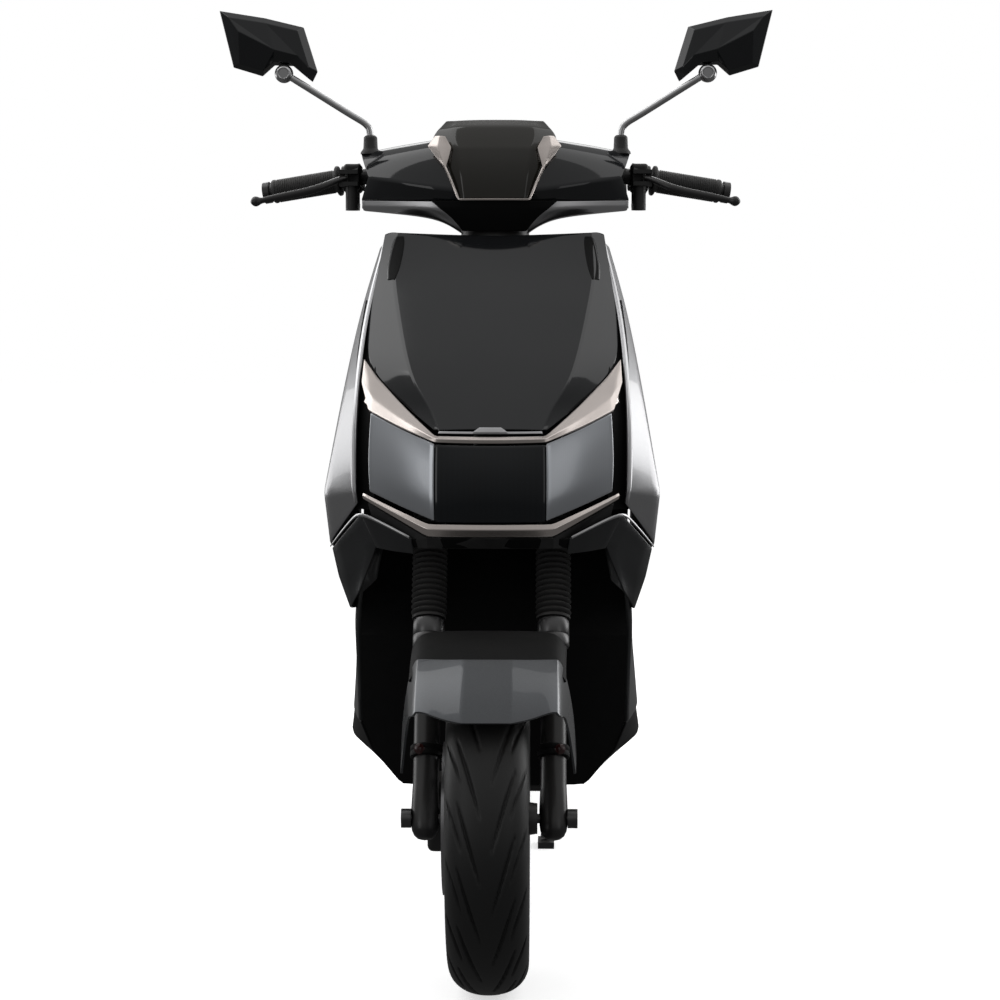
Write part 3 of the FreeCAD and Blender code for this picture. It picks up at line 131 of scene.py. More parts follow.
# %% Flakes: the sparkle of metallic paint
paint_flake, entry, leave = start_group("paint_flake", [("Scale", 1400.0)], ["Height", "Sparkle"])
place = paint_flake.nodes.new("ShaderNodeTexCoord")
cells = paint_flake.nodes.new("ShaderNodeTexVoronoi")
paint_flake.links.new(place.outputs["Object"], cells.inputs["Vector"])
paint_flake.links.new(entry.outputs["Scale"], cells.inputs["Scale"])
paint_flake.links.new(cells.outputs["Distance"], leave.inputs["Height"])
paint_flake.links.new(cells.outputs["Color"], leave.inputs["Sparkle"])

# %% Leather: creased cells for the seat's cover, with painted shade darkening the creases
leather_grain, entry, leave = start_group("leather_grain", [("Scale", 420.0)], ["Height", "Crease_Shade"])
place = leather_grain.nodes.new("ShaderNodeTexCoord")
cells = leather_grain.nodes.new("ShaderNodeTexVoronoi")
cells.feature = "DISTANCE_TO_EDGE"
leather_grain.links.new(place.outputs["Object"], cells.inputs["Vector"])
leather_grain.links.new(entry.outputs["Scale"], cells.inputs["Scale"])
lifted = math_node(leather_grain, "MULTIPLY", cells.outputs["Distance"], 3.0, clamp=True)
leather_grain.links.new(lifted, leave.inputs["Height"])
leather_grain.links.new(math_node(leather_grain, "SUBTRACT", 1.0, lifted), leave.inputs["Crease_Shade"])

# %% Ribs: straight parallel lines, for lens optics and brushed metal
fine_ribs, entry, leave = start_group("fine_ribs", [("Scale", 200.0), ("Tilt", 0.0)], ["Height"])
place = fine_ribs.nodes.new("ShaderNodeTexCoord")
axes = fine_ribs.nodes.new("ShaderNodeSeparateXYZ")
fine_ribs.links.new(place.outputs["Object"], axes.inputs[0])
slant = math_node(fine_ribs, "MULTIPLY", axes.outputs["Z"], entry.outputs["Tilt"])
across = math_node(fine_ribs, "ADD", axes.outputs["X"], slant)
phase = math_node(fine_ribs, "MULTIPLY", across, entry.outputs["Scale"])
wave = math_node(fine_ribs, "SINE", phase)
lifted = math_node(fine_ribs, "MULTIPLY", math_node(fine_ribs, "ADD", wave, 1.0), 0.5)
fine_ribs.links.new(lifted, leave.inputs["Height"])
print("node groups:", [group.name for group in bpy.data.node_groups])

# %% [markdown]
# ## A workshop of finishes
# Every finish starts from one Principled shader. What is the same all over the surface, such as the coat or the
# index of refraction, is set on the shader itself. What changes over the surface, such as wear, dust and grain, comes
# from the groups. One function makes both, so each finish below is one readable line.

# %% Small helpers for a material's nodes
def group_node(tree, group, **values):
    """A node group placed in a material with its own values."""
    node = tree.nodes.new("ShaderNodeGroup")
    node.node_tree = group
    for name, value in values.items():
        node.inputs[name].default_value = value
    return node


def mix_colour(tree, mask, under, over):
    """One colour over another where a mask is high; under is a colour or a socket."""
    mix = tree.nodes.new("ShaderNodeMix")
    mix.data_type = "RGBA"
    factor, first, second = mix.inputs[0], mix.inputs[6], mix.inputs[7]
    tree.links.new(mask, factor)
    if isinstance(under, (tuple, list)):
        first.default_value = (*under, 1.0)
    else:
        tree.links.new(under, first)
    second.default_value = (*over, 1.0)
    return mix.outputs[2]


# %% The function behind every finish
def finish_of(
    title,
    colour,
    rough,
    metal=0.0,
    coat=0.0,
    worn=None,
    wear=0.3,
    dust=0.12,
    dust_colour=(0.32, 0.3, 0.27),
    texture="moulded_grain",
    scale=900.0,
    bump=0.05,
    bump_depth=0.0004,
    vary=0.25,
    tilt=0.0,
):
    """A finish: a shader, its wear along edges, its dust and its fine texture."""
    material = bpy.data.materials.new(title)
    material.use_nodes = True
    tree = material.node_tree
    shader = tree.nodes["Principled BSDF"]
    shader.inputs["Metallic"].default_value = metal
    shader.inputs["Coat Weight"].default_value = coat
    shader.inputs["Coat Roughness"].default_value = 0.03
    material.diffuse_color = (*colour, 1.0)

    surface = group_node(tree, bpy.data.node_groups[texture], Scale=scale)
    if texture == "fine_ribs":
        surface.inputs["Tilt"].default_value = tilt
    second = [name for name in ("Patches", "Sparkle", "Crease_Shade", "Height") if name in surface.outputs][0]
    darker = [channel * (1.0 - vary) for channel in colour]
    bright = worn or [min(1.0, channel * 2.0 + 0.04) for channel in colour]
    wear_mask = group_node(tree, edge_wear, Amount=wear)
    dust_mask = group_node(tree, dust_film, Amount=dust)
    # The texture's second output darkens the colour: tone in patches, flakes or ribs, and painted shade in the
    # leather's creases.
    shade = mix_colour(tree, surface.outputs[second], colour, darker)
    rubbed = mix_colour(tree, wear_mask.outputs["Mask"], shade, bright)
    dusted = mix_colour(tree, dust_mask.outputs["Mask"], rubbed, dust_colour)
    tree.links.new(dusted, shader.inputs["Base Color"])

    dull = tree.nodes.new("ShaderNodeMath")
    dull.operation = "MULTIPLY_ADD"
    dull.use_clamp = True
    dull.inputs[1].default_value = 0.5
    dull.inputs[2].default_value = rough
    tree.links.new(dust_mask.outputs["Mask"], dull.inputs[0])
    tree.links.new(dull.outputs[0], shader.inputs["Roughness"])

    relief = tree.nodes.new("ShaderNodeBump")
    relief.inputs["Strength"].default_value = bump
    relief.inputs["Distance"].default_value = bump_depth
    tree.links.new(surface.outputs["Height"], relief.inputs["Height"])
    tree.links.new(relief.outputs["Normal"], shader.inputs["Normal"])
    return material


# %% [markdown]
# ## The finishes of this scooter
# The front panel, the handlebar's cover and the mirrors are piano black: almost no colour, under a clear coat. The
# sides are metallic silver, the facets under them a dark satin grey, the front mudguard gunmetal, and the thin trims
# around the lamp champagne. What lies low or inside is grained black plastic, black paint or rubber, and in recesses,
# underneath and in gaps a black far darker than real plastic, with its reflection turned down: painted shade.

# %% Glossy and painted finishes
piano_black = finish_of("piano_black", (0.011, 0.012, 0.0135), 0.07, wear=0.1, dust=0.015, bump=0.006, vary=0.1)
smoked_visor = finish_of("smoked_visor", (0.018, 0.0165, 0.0125), 0.08, wear=0.1, dust=0.02, bump=0.006)
silver_paint = finish_of(
    "silver_paint", (0.4, 0.4, 0.41), 0.3, metal=0.85, coat=0.5, texture="paint_flake", scale=1500, bump=0.04,
    vary=0.12, dust=0.05,
)
gunmetal_paint = finish_of(
    "gunmetal_paint", (0.07, 0.075, 0.082), 0.27, metal=0.8, coat=0.5, texture="paint_flake", scale=1500,
    bump=0.05, vary=0.2, dust=0.06,
)
cheek_grey = finish_of(
    "cheek_grey", (0.034, 0.036, 0.038), 0.34, metal=0.35, coat=0.2, texture="paint_flake", scale=1600,
    bump=0.04, dust=0.06,
)
champagne = finish_of(
    "champagne", (0.74, 0.67, 0.63), 0.25, metal=0.9, coat=0.3, texture="paint_flake", scale=1800, bump=0.03,
    vary=0.1, dust=0.03,
)
bright_chrome = finish_of(
    "bright_chrome", (0.78, 0.78, 0.79), 0.1, metal=1.0, bump=0.02, scale=300, vary=0.08, dust=0.06,
)
stem_grey = finish_of("stem_grey", (0.5, 0.5, 0.505), 0.28, metal=1.0, bump=0.04, scale=700, vary=0.12, dust=0.05)
soft_silver = finish_of("soft_silver", (0.62, 0.62, 0.63), 0.28, metal=1.0, bump=0.03, scale=700, vary=0.1, dust=0.05)

# %% Plastic, rubber and bare metal
grained_black = finish_of("grained_black", (0.011, 0.0115, 0.012), 0.46, bump=0.12, scale=1400, dust=0.12)
satin_black = finish_of("satin_black", (0.014, 0.014, 0.015), 0.3, bump=0.05, scale=1100, dust=0.14)
tyre_rubber = finish_of("tyre_rubber", (0.008, 0.0085, 0.009), 0.5, bump=0.15, scale=1200, wear=0.15, dust=0.06)
soft_rubber = finish_of("soft_rubber", (0.014, 0.014, 0.0145), 0.55, bump=0.15, scale=1500, dust=0.15)
mat_rubber = finish_of("mat_rubber", (0.022, 0.022, 0.022), 0.6, bump=0.2, scale=800, dust=0.3)
# Painted shade: a black far darker than real plastic, with its reflection turned down, for recesses, undersides and
# gaps where shade falls.
painted_shade_black = finish_of("painted_shade_black", (0.0035, 0.0037, 0.004), 0.62, bump=0.12, wear=0.08, dust=0.02)
painted_shade_black.node_tree.nodes["Principled BSDF"].inputs["Specular IOR Level"].default_value = 0.12
dark_steel = finish_of("dark_steel", (0.1, 0.1, 0.102), 0.32, metal=0.9, bump=0.06, scale=600, dust=0.12)
zinc_bolt = finish_of("zinc_bolt", (0.5, 0.5, 0.49), 0.35, metal=1.0, bump=0.06, scale=600, dust=0.2)
ground_steel = finish_of(
    "ground_steel", (0.42, 0.42, 0.43), 0.3, metal=1.0, texture="fine_ribs", scale=9000, bump=0.08,
    bump_depth=0.0002, dust=0.1,
)
motor_coat = finish_of("motor_coat", (0.03, 0.03, 0.032), 0.42, metal=0.2, bump=0.1, scale=1000, dust=0.2)
spring_red = finish_of("spring_red", (0.32, 0.015, 0.012), 0.3, coat=0.6, bump=0.04, dust=0.15)
battery_grey = finish_of("battery_grey", (0.16, 0.165, 0.175), 0.4, metal=0.4, bump=0.06, dust=0.1)
seat_leather = finish_of(
    "seat_leather", (0.026, 0.0245, 0.0235), 0.46, texture="leather_grain", scale=420, bump=0.25,
    bump_depth=0.0006, dust=0.1, wear=0.1,
)

# %% Lenses, screen and small coloured pieces
lamp_centre = finish_of(
    "lamp_centre", (0.004, 0.006, 0.008), 0.06, texture="fine_ribs", scale=900, bump=0.01, dust=0.01,
)
lamp_wing = finish_of(
    "lamp_wing", (0.44, 0.46, 0.49), 0.17, metal=0.7, coat=0.6, texture="fine_ribs", scale=2600, bump=0.006,
    vary=0.05, dust=0.01,
)
tail_red = finish_of(
    "tail_red", (0.4, 0.008, 0.01), 0.14, coat=1.0, texture="fine_ribs", scale=1400, bump=0.15, vary=0.5,
    dust=0.06,
)
signal_amber = finish_of(
    "signal_amber", (0.62, 0.19, 0.01), 0.15, coat=1.0, texture="fine_ribs", scale=1400, bump=0.15, vary=0.4,
    dust=0.06,
)
screen_glass = finish_of(
    "screen_glass", (0.006, 0.009, 0.012), 0.08, coat=1.0, texture="fine_ribs", scale=2500, bump=0.01,
    dust=0.03,
)
switch_grey = finish_of("switch_grey", (0.2, 0.2, 0.2), 0.45, bump=0.1, dust=0.1)
horn_red = finish_of("horn_red", (0.45, 0.02, 0.02), 0.3, coat=0.3, bump=0.05, dust=0.05)
mirror_face = finish_of("mirror_face", (0.85, 0.86, 0.87), 0.02, metal=1.0, bump=0.003, vary=0.03, wear=0.0, dust=0.03)
reflector_red = finish_of(
    "reflector_red", (0.035, 0.004, 0.004), 0.16, coat=0.5, texture="fine_ribs", scale=3000, bump=0.1,
    dust=0.04,
)
print("finishes:", len(bpy.data.materials))

# %% [markdown]
# ## Ways of making a skin
# A body panel is a thin moulded sheet. It could be carved from a solid, but a few rows of corners on one side of
# the scooter are quicker to read and to change. They are mirrored, and a subdivision surface draws smooth curves
# between them. Where the real panel has a sharp fold, the edges of that column or row get a crease. A Solidify
# modifier gives the sheet its wall and a small Bevel breaks the rim, so that it catches the light.

# %% Build a skin from rows of corners
def link(obj):
    """Puts a new object in the scene."""
    bpy.context.scene.collection.objects.link(obj)
    return obj


def shade_smooth(mesh):
    """Hides the facets of a curved surface."""
    for polygon in mesh.polygons:
        polygon.use_smooth = True


def grid_mesh(name, rows, mirror=True, column_crease=None, row_crease=None):
    """A mesh of rows of corners in millimetres. Creases are {column or row: strength}, columns counted from x = 0."""
    column_crease = column_crease or {}
    row_crease = row_crease or {}
    inner = 0
    if mirror:
        inner = len(rows[0]) - 1
        rows = [[(-x, y, z) for x, y, z in reversed(row[1:])] + list(row) for row in rows]
    width = len(rows[0])
    corners = [Vector(corner) * MM for row in rows for corner in row]
    faces = [
        (r * width + c, r * width + c + 1, (r + 1) * width + c + 1, (r + 1) * width + c)
        for r in range(len(rows) - 1)
        for c in range(width - 1)
    ]
    mesh = bpy.data.meshes.new(name)
    mesh.from_pydata(corners, [], faces)
    mesh.update()
    creases = mesh.attributes.new("crease_edge", "FLOAT", "EDGE")
    for edge in mesh.edges:
        (row_a, col_a), (_, col_b) = (divmod(index, width) for index in edge.vertices)
        if col_a == col_b:
            creases.data[edge.index].value = column_crease.get(abs(col_a - inner), 0.0)
        else:
            creases.data[edge.index].value = row_crease.get(row_a, 0.0)
    shade_smooth(mesh)
    return mesh


def dress(obj, material, body, replaces=()):
    """Gives a piece its finish, its body and the CAD nodes that it stands for."""
    if obj.type in ("MESH", "CURVE"):
        obj.data.materials.clear()
        obj.data.materials.append(material)
    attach(obj, body)
    if replaces:
        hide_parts(*replaces)
    return obj


def skin(name, rows, material, body, slot, replaces=(), wall=3.0, level=3, sides="joined", rim=0.8, **creases):
    """A panel: a creased, subdivided sheet with a wall and a softened rim.

    The rows are one half of a joined sheet, one sheet of a pair, or the only sheet.
    """
    obj = link(bpy.data.objects.new(name, grid_mesh(name, rows, sides == "joined", **creases)))
    if sides == "pair":
        reflect = obj.modifiers.new("other side", "MIRROR")
        reflect.use_mirror_merge = False
    smooth = obj.modifiers.new("curves", "SUBSURF")
    smooth.levels = smooth.render_levels = level
    smooth.boundary_smooth = "PRESERVE_CORNERS"
    thick = obj.modifiers.new("wall", "SOLIDIFY")
    thick.thickness = wall * MM
    thick.offset = -1.0
    thick.use_even_offset = True
    soft = obj.modifiers.new("soft rim", "BEVEL")
    soft.width = rim * MM
    soft.segments = 2
    soft.limit_method = "ANGLE"
    soft.angle_limit = math.radians(50)
    return dress(obj, material, body, replaces)


# %% [markdown]
# ## Finishes for the CAD pieces that stay
# Turned and welded pieces, such as the fork, the frame and the wheels' hubs, are already right in CAD. They keep
# their own meshes. A narrow bevel on their sharp edges and a proper finish are all that they need. The pieces that
# a finer skin replaces further down get a finish here too, although they are hidden then.

# %% Finish and bevel the carried-over pieces
CAD_FINISHES = {
    "frame": satin_black,
    "chassis_bolts": zinc_bolt,
    "upper_trim": champagne,
    "nose_strip": soft_silver,
    "headlight_lens": lamp_centre,
    "headlight_wings": lamp_wing,
    "headlight_housing": grained_black,
    "lower_trim": champagne,
    "wheel_liner": painted_shade_black,
    "belly_pan": grained_black,
    "leg_shield": grained_black,
    "floorboard": mat_rubber,
    "battery": battery_grey,
    "storage_bucket": grained_black,
    "rear_body_panels": silver_paint,
    "seat_base": grained_black,
    "seat_cushion": seat_leather,
    "grab_rail": satin_black,
    "rear_lights": tail_red,
    "rear_mudguard": grained_black,
    "centre_stand": satin_black,
    "side_stand": satin_black,
    "swingarm": satin_black,
    "rear_axle": zinc_bolt,
    "rear_tyre": tyre_rubber,
    "hub_motor": motor_coat,
    "shock_tubes": bright_chrome,
    "shock_rods": bright_chrome,
    "shock_springs": spring_red,
    "fork_yoke": satin_black,
    "stanchions": bright_chrome,
    "fork_gaiters": soft_rubber,
    "fork_legs": satin_black,
    "front_axle": dark_steel,
    "brake_caliper": satin_black,
    "front_mudguard": gunmetal_paint,
    "mudguard_liner": grained_black,
    "front_rim": motor_coat,
    "front_tyre": tyre_rubber,
    "brake_disc": ground_steel,
    "handlebar": satin_black,
    "front_panel": piano_black,
    "side_panels": silver_paint,
    "side_cheeks": cheek_grey,
    "headset_cover": piano_black,
    "headset_shell": grained_black,
    "visor": smoked_visor,
    "visor_trim": champagne,
    "display": screen_glass,
    "switch_housings": grained_black,
    "grip_left": soft_rubber,
    "throttle_grip": soft_rubber,
    "lever_left": satin_black,
    "lever_right": satin_black,
    "mirror_stems": bright_chrome,
    "mirror_left": piano_black,
    "mirror_right": piano_black,
    "horn_button": horn_red,
    "indicator_switch": switch_grey,
    "ignition_key": zinc_bolt,
}
for node, material in CAD_FINISHES.items():
    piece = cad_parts[node]
    piece.data.materials.clear()
    piece.data.materials.append(material)
    bevel = piece.modifiers.new("soft edges", "BEVEL")
    bevel.width = 0.8 * MM
    bevel.segments = 2
    bevel.limit_method = "ANGLE"
    bevel.angle_limit = math.radians(35)
print("finished CAD pieces:", len(CAD_FINISHES))

# %% [markdown]
# ## The front panel
# The nose of the scooter is one glossy black moulding. Its middle is gently domed, and a fold on each side turns the
# rest of it backwards, so that light falls on the three fields differently. A flat sheet with a texture would never
# show that, so the sheet is modelled in five columns a side, with a strong crease on the fold's column.

# %% Front panel
PANEL_ROWS = [
    [(0, -622, 700), (36, -621.3, 700), (66, -619, 699), (68.5, -617, 699), (71, -614.6, 698.5)],
    [(0, -598, 728), (42, -597, 728), (78, -592.5, 727), (91, -579, 724), (104, -567, 722)],
    [(0, -576, 752), (50, -574.5, 752), (98, -568, 752), (114, -552, 748), (130, -539, 745)],
    [(0, -549, 780), (58, -547, 780), (109, -540, 780), (136, -517, 776), (159, -498, 773)],
    [(0, -516, 811), (62, -513.5, 811), (118, -505, 811), (145, -482, 808), (168, -462, 805)],
    [(0, -457, 864), (66, -454.5, 864), (130, -446, 864), (148, -429, 864), (163, -414, 864)],
    [(0, -408, 905), (68, -406, 905), (138, -398, 905), (148, -390, 905), (156, -383, 904)],
    [(0, -357, 951), (66, -355.5, 953), (132, -351, 956), (141, -347.5, 957), (149, -346, 954)],
    [(0, -349, 951), (66, -347, 952), (128, -342, 954), (137, -341, 954), (144, -341, 950)],
]
front_skin = skin(
    "front_skin",
    PANEL_ROWS,
    piano_black,
    "chassis",
    "gloss_black",
    ["front_panel"],
    wall=3,
    level=4,
    column_crease={2: 1.0},
    row_crease={7: 0.85},
)


# %% Find a surface, so that small pieces can be laid on it
from mathutils.bvhtree import BVHTree


def surface_of(obj):
    """The finished surface of a piece, for finding places on it."""
    graph = bpy.context.evaluated_depsgraph_get()
    return BVHTree.FromObject(obj, graph)


def front_of(tree, x, z, proud=0.0):
    """The place on a surface that a straight look along +Y meets, in millimetres."""
    hit = tree.ray_cast(Vector((x, -1200, z)) * MM, Vector((0, 1, 0)))
    return (hit[0] / MM) + (hit[1] * proud if proud else Vector())


panel_face = surface_of(front_skin)
print("front of the panel at mid height:", tuple(round(v, 1) for v in front_of(panel_face, 0, 820)))

# %% [markdown]
# ## The vents at the panel's upper corners
# Two slanting slots let air past the panel's upper corners. Each is laid on the panel's own surface, not cut into it:
# a sheet of extra-dark black, painted shade standing for the slot's depth, inside a narrow raised lip that follows the
# panel's curve.

# %% Corner vents
VENT_LINE = [(127, 950, 4), (128, 945, 7), (131, 925, 8), (134, 905, 7.5), (136, 891, 4)]
for side, name in SIDES:
    # The black sheet inside each lip is painted shade for the depth of a slot that is not cut.
    slot_shade_rows = []
    lip_rows = []
    for x, z, half in VENT_LINE:
        slot_shade_rows.append([tuple(front_of(panel_face, side * (x + s * half), z, 0.5)) for s in (-1, 0, 1)])
        edge = ((-0.6, 0.4), (0.4, 1.6), (1.8, 0.2))
        lip_rows.append([tuple(front_of(panel_face, side * (x + half + w), z, proud)) for w, proud in edge])
    skin(
        f"vent_slot_shade_{name}", slot_shade_rows, painted_shade_black, "chassis", "dark_plastic", wall=-0.4, level=2,
        sides="only", rim=0.1,
    )
    skin(f"vent_lip_{name}", lip_rows, piano_black, "chassis", "gloss_black", wall=-0.4, level=2, sides="only", rim=0.1)

# %% [markdown]
# ## The trims around the lamp
# Above the lamp lies a metallic trim shaped like a wide boomerang: thin in the middle, broad at its ends, with a
# ridge along it. Below the lamp a narrower one answers it. Real ones are plated or painted plastic. Three rows of
# corners give the two facets that meet at the ridge, and creased columns keep the corners crisp.

# %% Upper and lower lamp trims
UPPER_TRIM = [
    [(0, -637, 682.5), (40, -635.5, 683), (70, -632, 684), (115, -606, 702), (157, -576, 723), (161, -560, 735)],
    [(0, -638, 687), (40, -636.5, 687.5), (71, -632, 688.5), (116, -594, 712), (157, -555, 742), (169, -526, 757)],
    [(0, -632, 690.5), (40, -630, 691), (70, -625, 691.5), (113, -570, 727), (150, -516, 764), (168, -488, 786)],
]
skin(
    "lamp_brow", UPPER_TRIM, champagne, "chassis", "champagne", ["upper_trim"], level=3,
    column_crease={2: 0.9, 4: 0.6}, row_crease={1: 0.9},
)
LOWER_TRIM = [
    [(0, -641, 565), (79, -633, 565), (120, -613, 587), (163, -590, 610)],
    [(0, -646, 574), (79, -637, 574), (120, -615, 593), (164, -591, 614)],
    [(0, -644, 580.5), (78, -635, 580.5), (119, -611, 597), (163, -588, 617)],
]
STRIP_ROWS = [
    [(0, -628, 694.2), (40, -625.5, 694.3), (66, -622, 694.6)],
    [(0, -627, 697), (40, -624.5, 697.1), (65, -621, 697.4)],
]
skin("nose_line", STRIP_ROWS, soft_silver, "chassis", "silver_strip", ["nose_strip"], wall=1.5, level=2, rim=0.3)
TAB_ROWS = [
    [(0, -629.5, 696), (12, -629, 696), (22.5, -628, 696)],
    [(0, -627, 702.5), (8, -626.7, 702.5), (13.5, -626.2, 702.5)],
]
skin(
    "nose_tab", TAB_ROWS, soft_silver, "chassis", "silver_strip", wall=1.5, level=2, rim=0.3,
    column_crease={1: 1.0, 2: 1.0}, row_crease={0: 1.0, 1: 1.0},
)
skin(
    "lamp_lower_lip", LOWER_TRIM, champagne, "chassis", "champagne", ["lower_trim"], level=3,
    column_crease={1: 0.9}, row_crease={1: 0.9},
)

# %% [markdown]
# ## The lamp
# The lamp is one wide glass in three fields: a nearly black middle and two wings that fold backwards. Behind the
# wings lie light guides, which show as fine upright lines, brighter towards their outer ends. The glass is modelled as
# a slightly domed sheet in each field, and the light guides are in its finish.

# %% Lamp glass and wings
LENS_ROWS = [
    [(0, -645, 583), (36, -643.5, 583), (69, -637, 584)],
    [(0, -648, 610), (36, -646, 610), (70, -638.5, 611)],
    [(0, -646.5, 650), (36, -644.5, 650), (70, -636.5, 651)],
    [(0, -640, 680), (36, -638, 680), (69, -632, 681)],
]
skin("lamp_glass", LENS_ROWS, lamp_centre, "chassis", "lamp_lens", ["headlight_lens"], level=3, rim=1.2)
WING_ROWS = [
    [(71, -636, 585), (112, -614, 600), (155, -590, 619)],
    [(71.5, -638, 611), (114, -616, 630), (157, -589, 650)],
    [(71.5, -636, 650), (115, -612, 668), (156, -584, 690)],
    [(71, -631, 682), (114, -604, 699), (154, -578, 719)],
]
skin(
    "lamp_wings_glass", WING_ROWS, lamp_wing, "chassis", "lamp_wings", ["headlight_wings"], level=3,
    sides="pair", rim=1.2,
)

# %% [markdown]
# ## The side panels and the facets below them
# Beside the nose, two tall silver panels run back to the leg shield. Along their front edge lies a narrow bright fin,
# and low down a horizontal fold turns the paint towards the ground, where it looks darker. Below them sit dark grey
# facets like a cut stone. The fold is a creased row; the facets have every edge creased.

# %% Side panels
SIDE_ROWS = [
    [(173, -562, 602), (213, -514, 547), (206, -400, 520), (190, -264, 500)],
    [(175, -564, 618), (220, -524, 614), (212, -400, 610), (192, -262, 600)],
    [(176.5, -553, 668), (211, -500, 668), (203, -390, 668), (189, -260, 668)],
    [(176, -522, 732), (201, -462, 732), (195, -370, 732), (185, -257, 732)],
    [(173, -478, 797), (190, -420, 797), (184, -340, 797), (178, -254, 797)],
    [(166, -414, 864), (177, -372, 864), (173, -310, 864), (168, -250, 864)],
    [(147, -352, 945), (157, -326, 936), (155, -290, 942), (151, -248, 946)],
]
skin(
    "side_shells", SIDE_ROWS, silver_paint, "chassis", "silver_paint", ["side_panels"], level=3, sides="pair",
    row_crease={1: 0.9}, column_crease={1: 0.6},
)

# %% Bright fins along the side panels' front edges
FIN_WIDTHS = [1.5, 5, 7, 8, 8, 7, 3]
fin_rows = []
for row, width in zip(SIDE_ROWS, FIN_WIDTHS):
    edge = Vector(row[0])
    back = Vector(row[1]) - edge
    back.z = 0
    back.normalize()
    out = Vector((back.y, -back.x, 0))
    fin_rows.append([tuple(edge + out * s + back * (2 + width * t)) for s, t in ((0.6, 0.0), (2.4, 0.4), (1.0, 1.0))])
skin(
    "side_fins", fin_rows, soft_silver, "chassis", "silver_strip", wall=1.5, level=3, sides="pair",
    column_crease={1: 0.5}, rim=0.3,
)

# %% Black infill between the lamp and the side panels: painted shade in the gap between them
INFILL_ROWS = [
    [(150, -572, 594), (165, -557, 594), (179, -548, 594)],
    [(150, -562, 668), (165, -547, 668), (181, -538, 668)],
    [(150, -542, 732), (165, -517, 732), (181, -506, 732)],
    [(154, -482, 797), (166, -468, 797), (180, -460, 797)],
    [(154, -408, 864), (164, -402, 864), (172, -398, 864)],
]
skin("lamp_infill", INFILL_ROWS, painted_shade_black, "chassis", "dark_plastic", wall=2, level=2, sides="pair", rim=0.4)

# %% Cut facets below the side panels
CHEEK_ROWS = [
    [(173, -540, 486), (187, -505, 460), (190, -400, 448), (184, -264, 442)],
    [(147, -576, 548), (202, -514, 502), (199, -400, 485), (187, -264, 470)],
    [(168, -567, 589), (210, -516, 540), (203, -400, 513), (188, -264, 493)],
]
skin(
    "cheek_facets", CHEEK_ROWS, cheek_grey, "chassis", "dark_grey", ["side_cheeks"], level=2, sides="pair",
    row_crease={1: 0.95}, column_crease={1: 0.95, 2: 0.6}, rim=1.2,
)

# %% [markdown]
# ## The wheel's recess and the belly
# Behind the front wheel lies a black liner, which stays as CAD made it. Beside it the belly's fairing bulges
# outwards low down, and a narrow grey edge runs up each side of the recess to the facets. The liner, the belly and the
# chin under the lamp are in a black far darker than real plastic: painted shade in the recess and underneath.

# %% Lower edges and belly fairing
BELLY_ROWS = [
    [(0, 120, 206), (116, 120, 208), (146, 120, 250), (148, 120, 292)],
    [(0, 60, 206), (120, 60, 208), (172, 60, 256), (176, 60, 292)],
    [(0, -230, 206), (124, -230, 208), (209, -230, 262), (201, -230, 297)],
    [(0, -330, 207), (127, -330, 209), (198, -330, 262), (196, -330, 297)],
    [(0, -421, 209), (124, -421, 211), (164, -421, 259), (180, -421, 296)],
]
skin(
    "belly_fairing", BELLY_ROWS, painted_shade_black, "chassis", "dark_plastic", ["belly_pan"], level=3,
    column_crease={1: 0.7, 2: 0.8},
)
LOWER_SIDE_ROWS = [
    [(166, -415, 296), (182, -420, 298), (196, -330, 300), (200, -262, 300)],
    [(166, -415, 398), (185, -420, 398), (190, -340, 398), (192, -262, 398)],
    [(166, -415, 446), (189, -420, 444), (190, -340, 442), (186, -262, 438)],
    [(150, -388, 530), (176, -405, 520), (184, -340, 500), (184, -262, 485)],
]
skin("lower_sides", LOWER_SIDE_ROWS, cheek_grey, "chassis", "dark_grey", level=3, sides="pair", column_crease={1: 0.9})
CHIN_ROWS = [
    [(0, -626, 549), (60, -622, 549), (98, -611, 549)],
    [(0, -638, 562.5), (60, -633, 562.5), (100, -618, 561)],
]
# The chin under the lamp is in the extra-dark black: painted shade under the lamp.
skin(
    "lamp_chin", CHIN_ROWS, painted_shade_black, "chassis", "dark_plastic", level=2, column_crease={1: 0.8, 2: 1.0},
    row_crease={0: 1.0, 1: 1.0},
)
CHIN_SIDE_ROWS = [
    [(98, -611, 541), (122, -600, 543), (147, -583, 546)],
    [(101, -619, 561.5), (130, -607, 575), (166, -588, 590.5)],
]
skin(
    "chin_facets", CHIN_SIDE_ROWS, cheek_grey, "chassis", "dark_grey", level=2, sides="pair",
    column_crease={1: 0.9, 2: 1.0}, row_crease={0: 1.0, 1: 1.0},
)
EDGE_LINE = [
    ((103, -621, 563), 1.5), ((132, -610, 577), 1.7), ((168, -591, 593), 1.9), ((178, -570, 583.5), 1.8),
    ((194, -546, 565), 1.6), ((211, -518, 543), 1.2),
]
edge_rows = []
for (x, y, z), half in EDGE_LINE:
    edge_rows.append([(x - 0.6, y - 0.6, z + half), (x, y - 1.2, z), (x - 0.4, y - 0.6, z - half)])
skin("facet_edges", edge_rows, stem_grey, "chassis", "silver_strip", wall=-0.6, level=2, sides="pair", rim=0.1)

# %% [markdown]
# ## The front mudguard
# The mudguard hugs the tyre and rides up and down with the wheel. Its crown is flat between two folds, its
# shoulders slope, and two blades reach down in front of the fork's legs. The crown's corners are given by their angle
# and radius round the axle, so the sheet keeps an even distance from the tyre.

# %% Front mudguard
AXLE_Y, AXLE_Z = -688, 217


def round_axle(x, radius, degrees):
    """A corner at an angle round the front axle, counted up from straight ahead."""
    angle = math.radians(degrees)
    return (x, AXLE_Y - radius * math.cos(angle), AXLE_Z + radius * math.sin(angle))


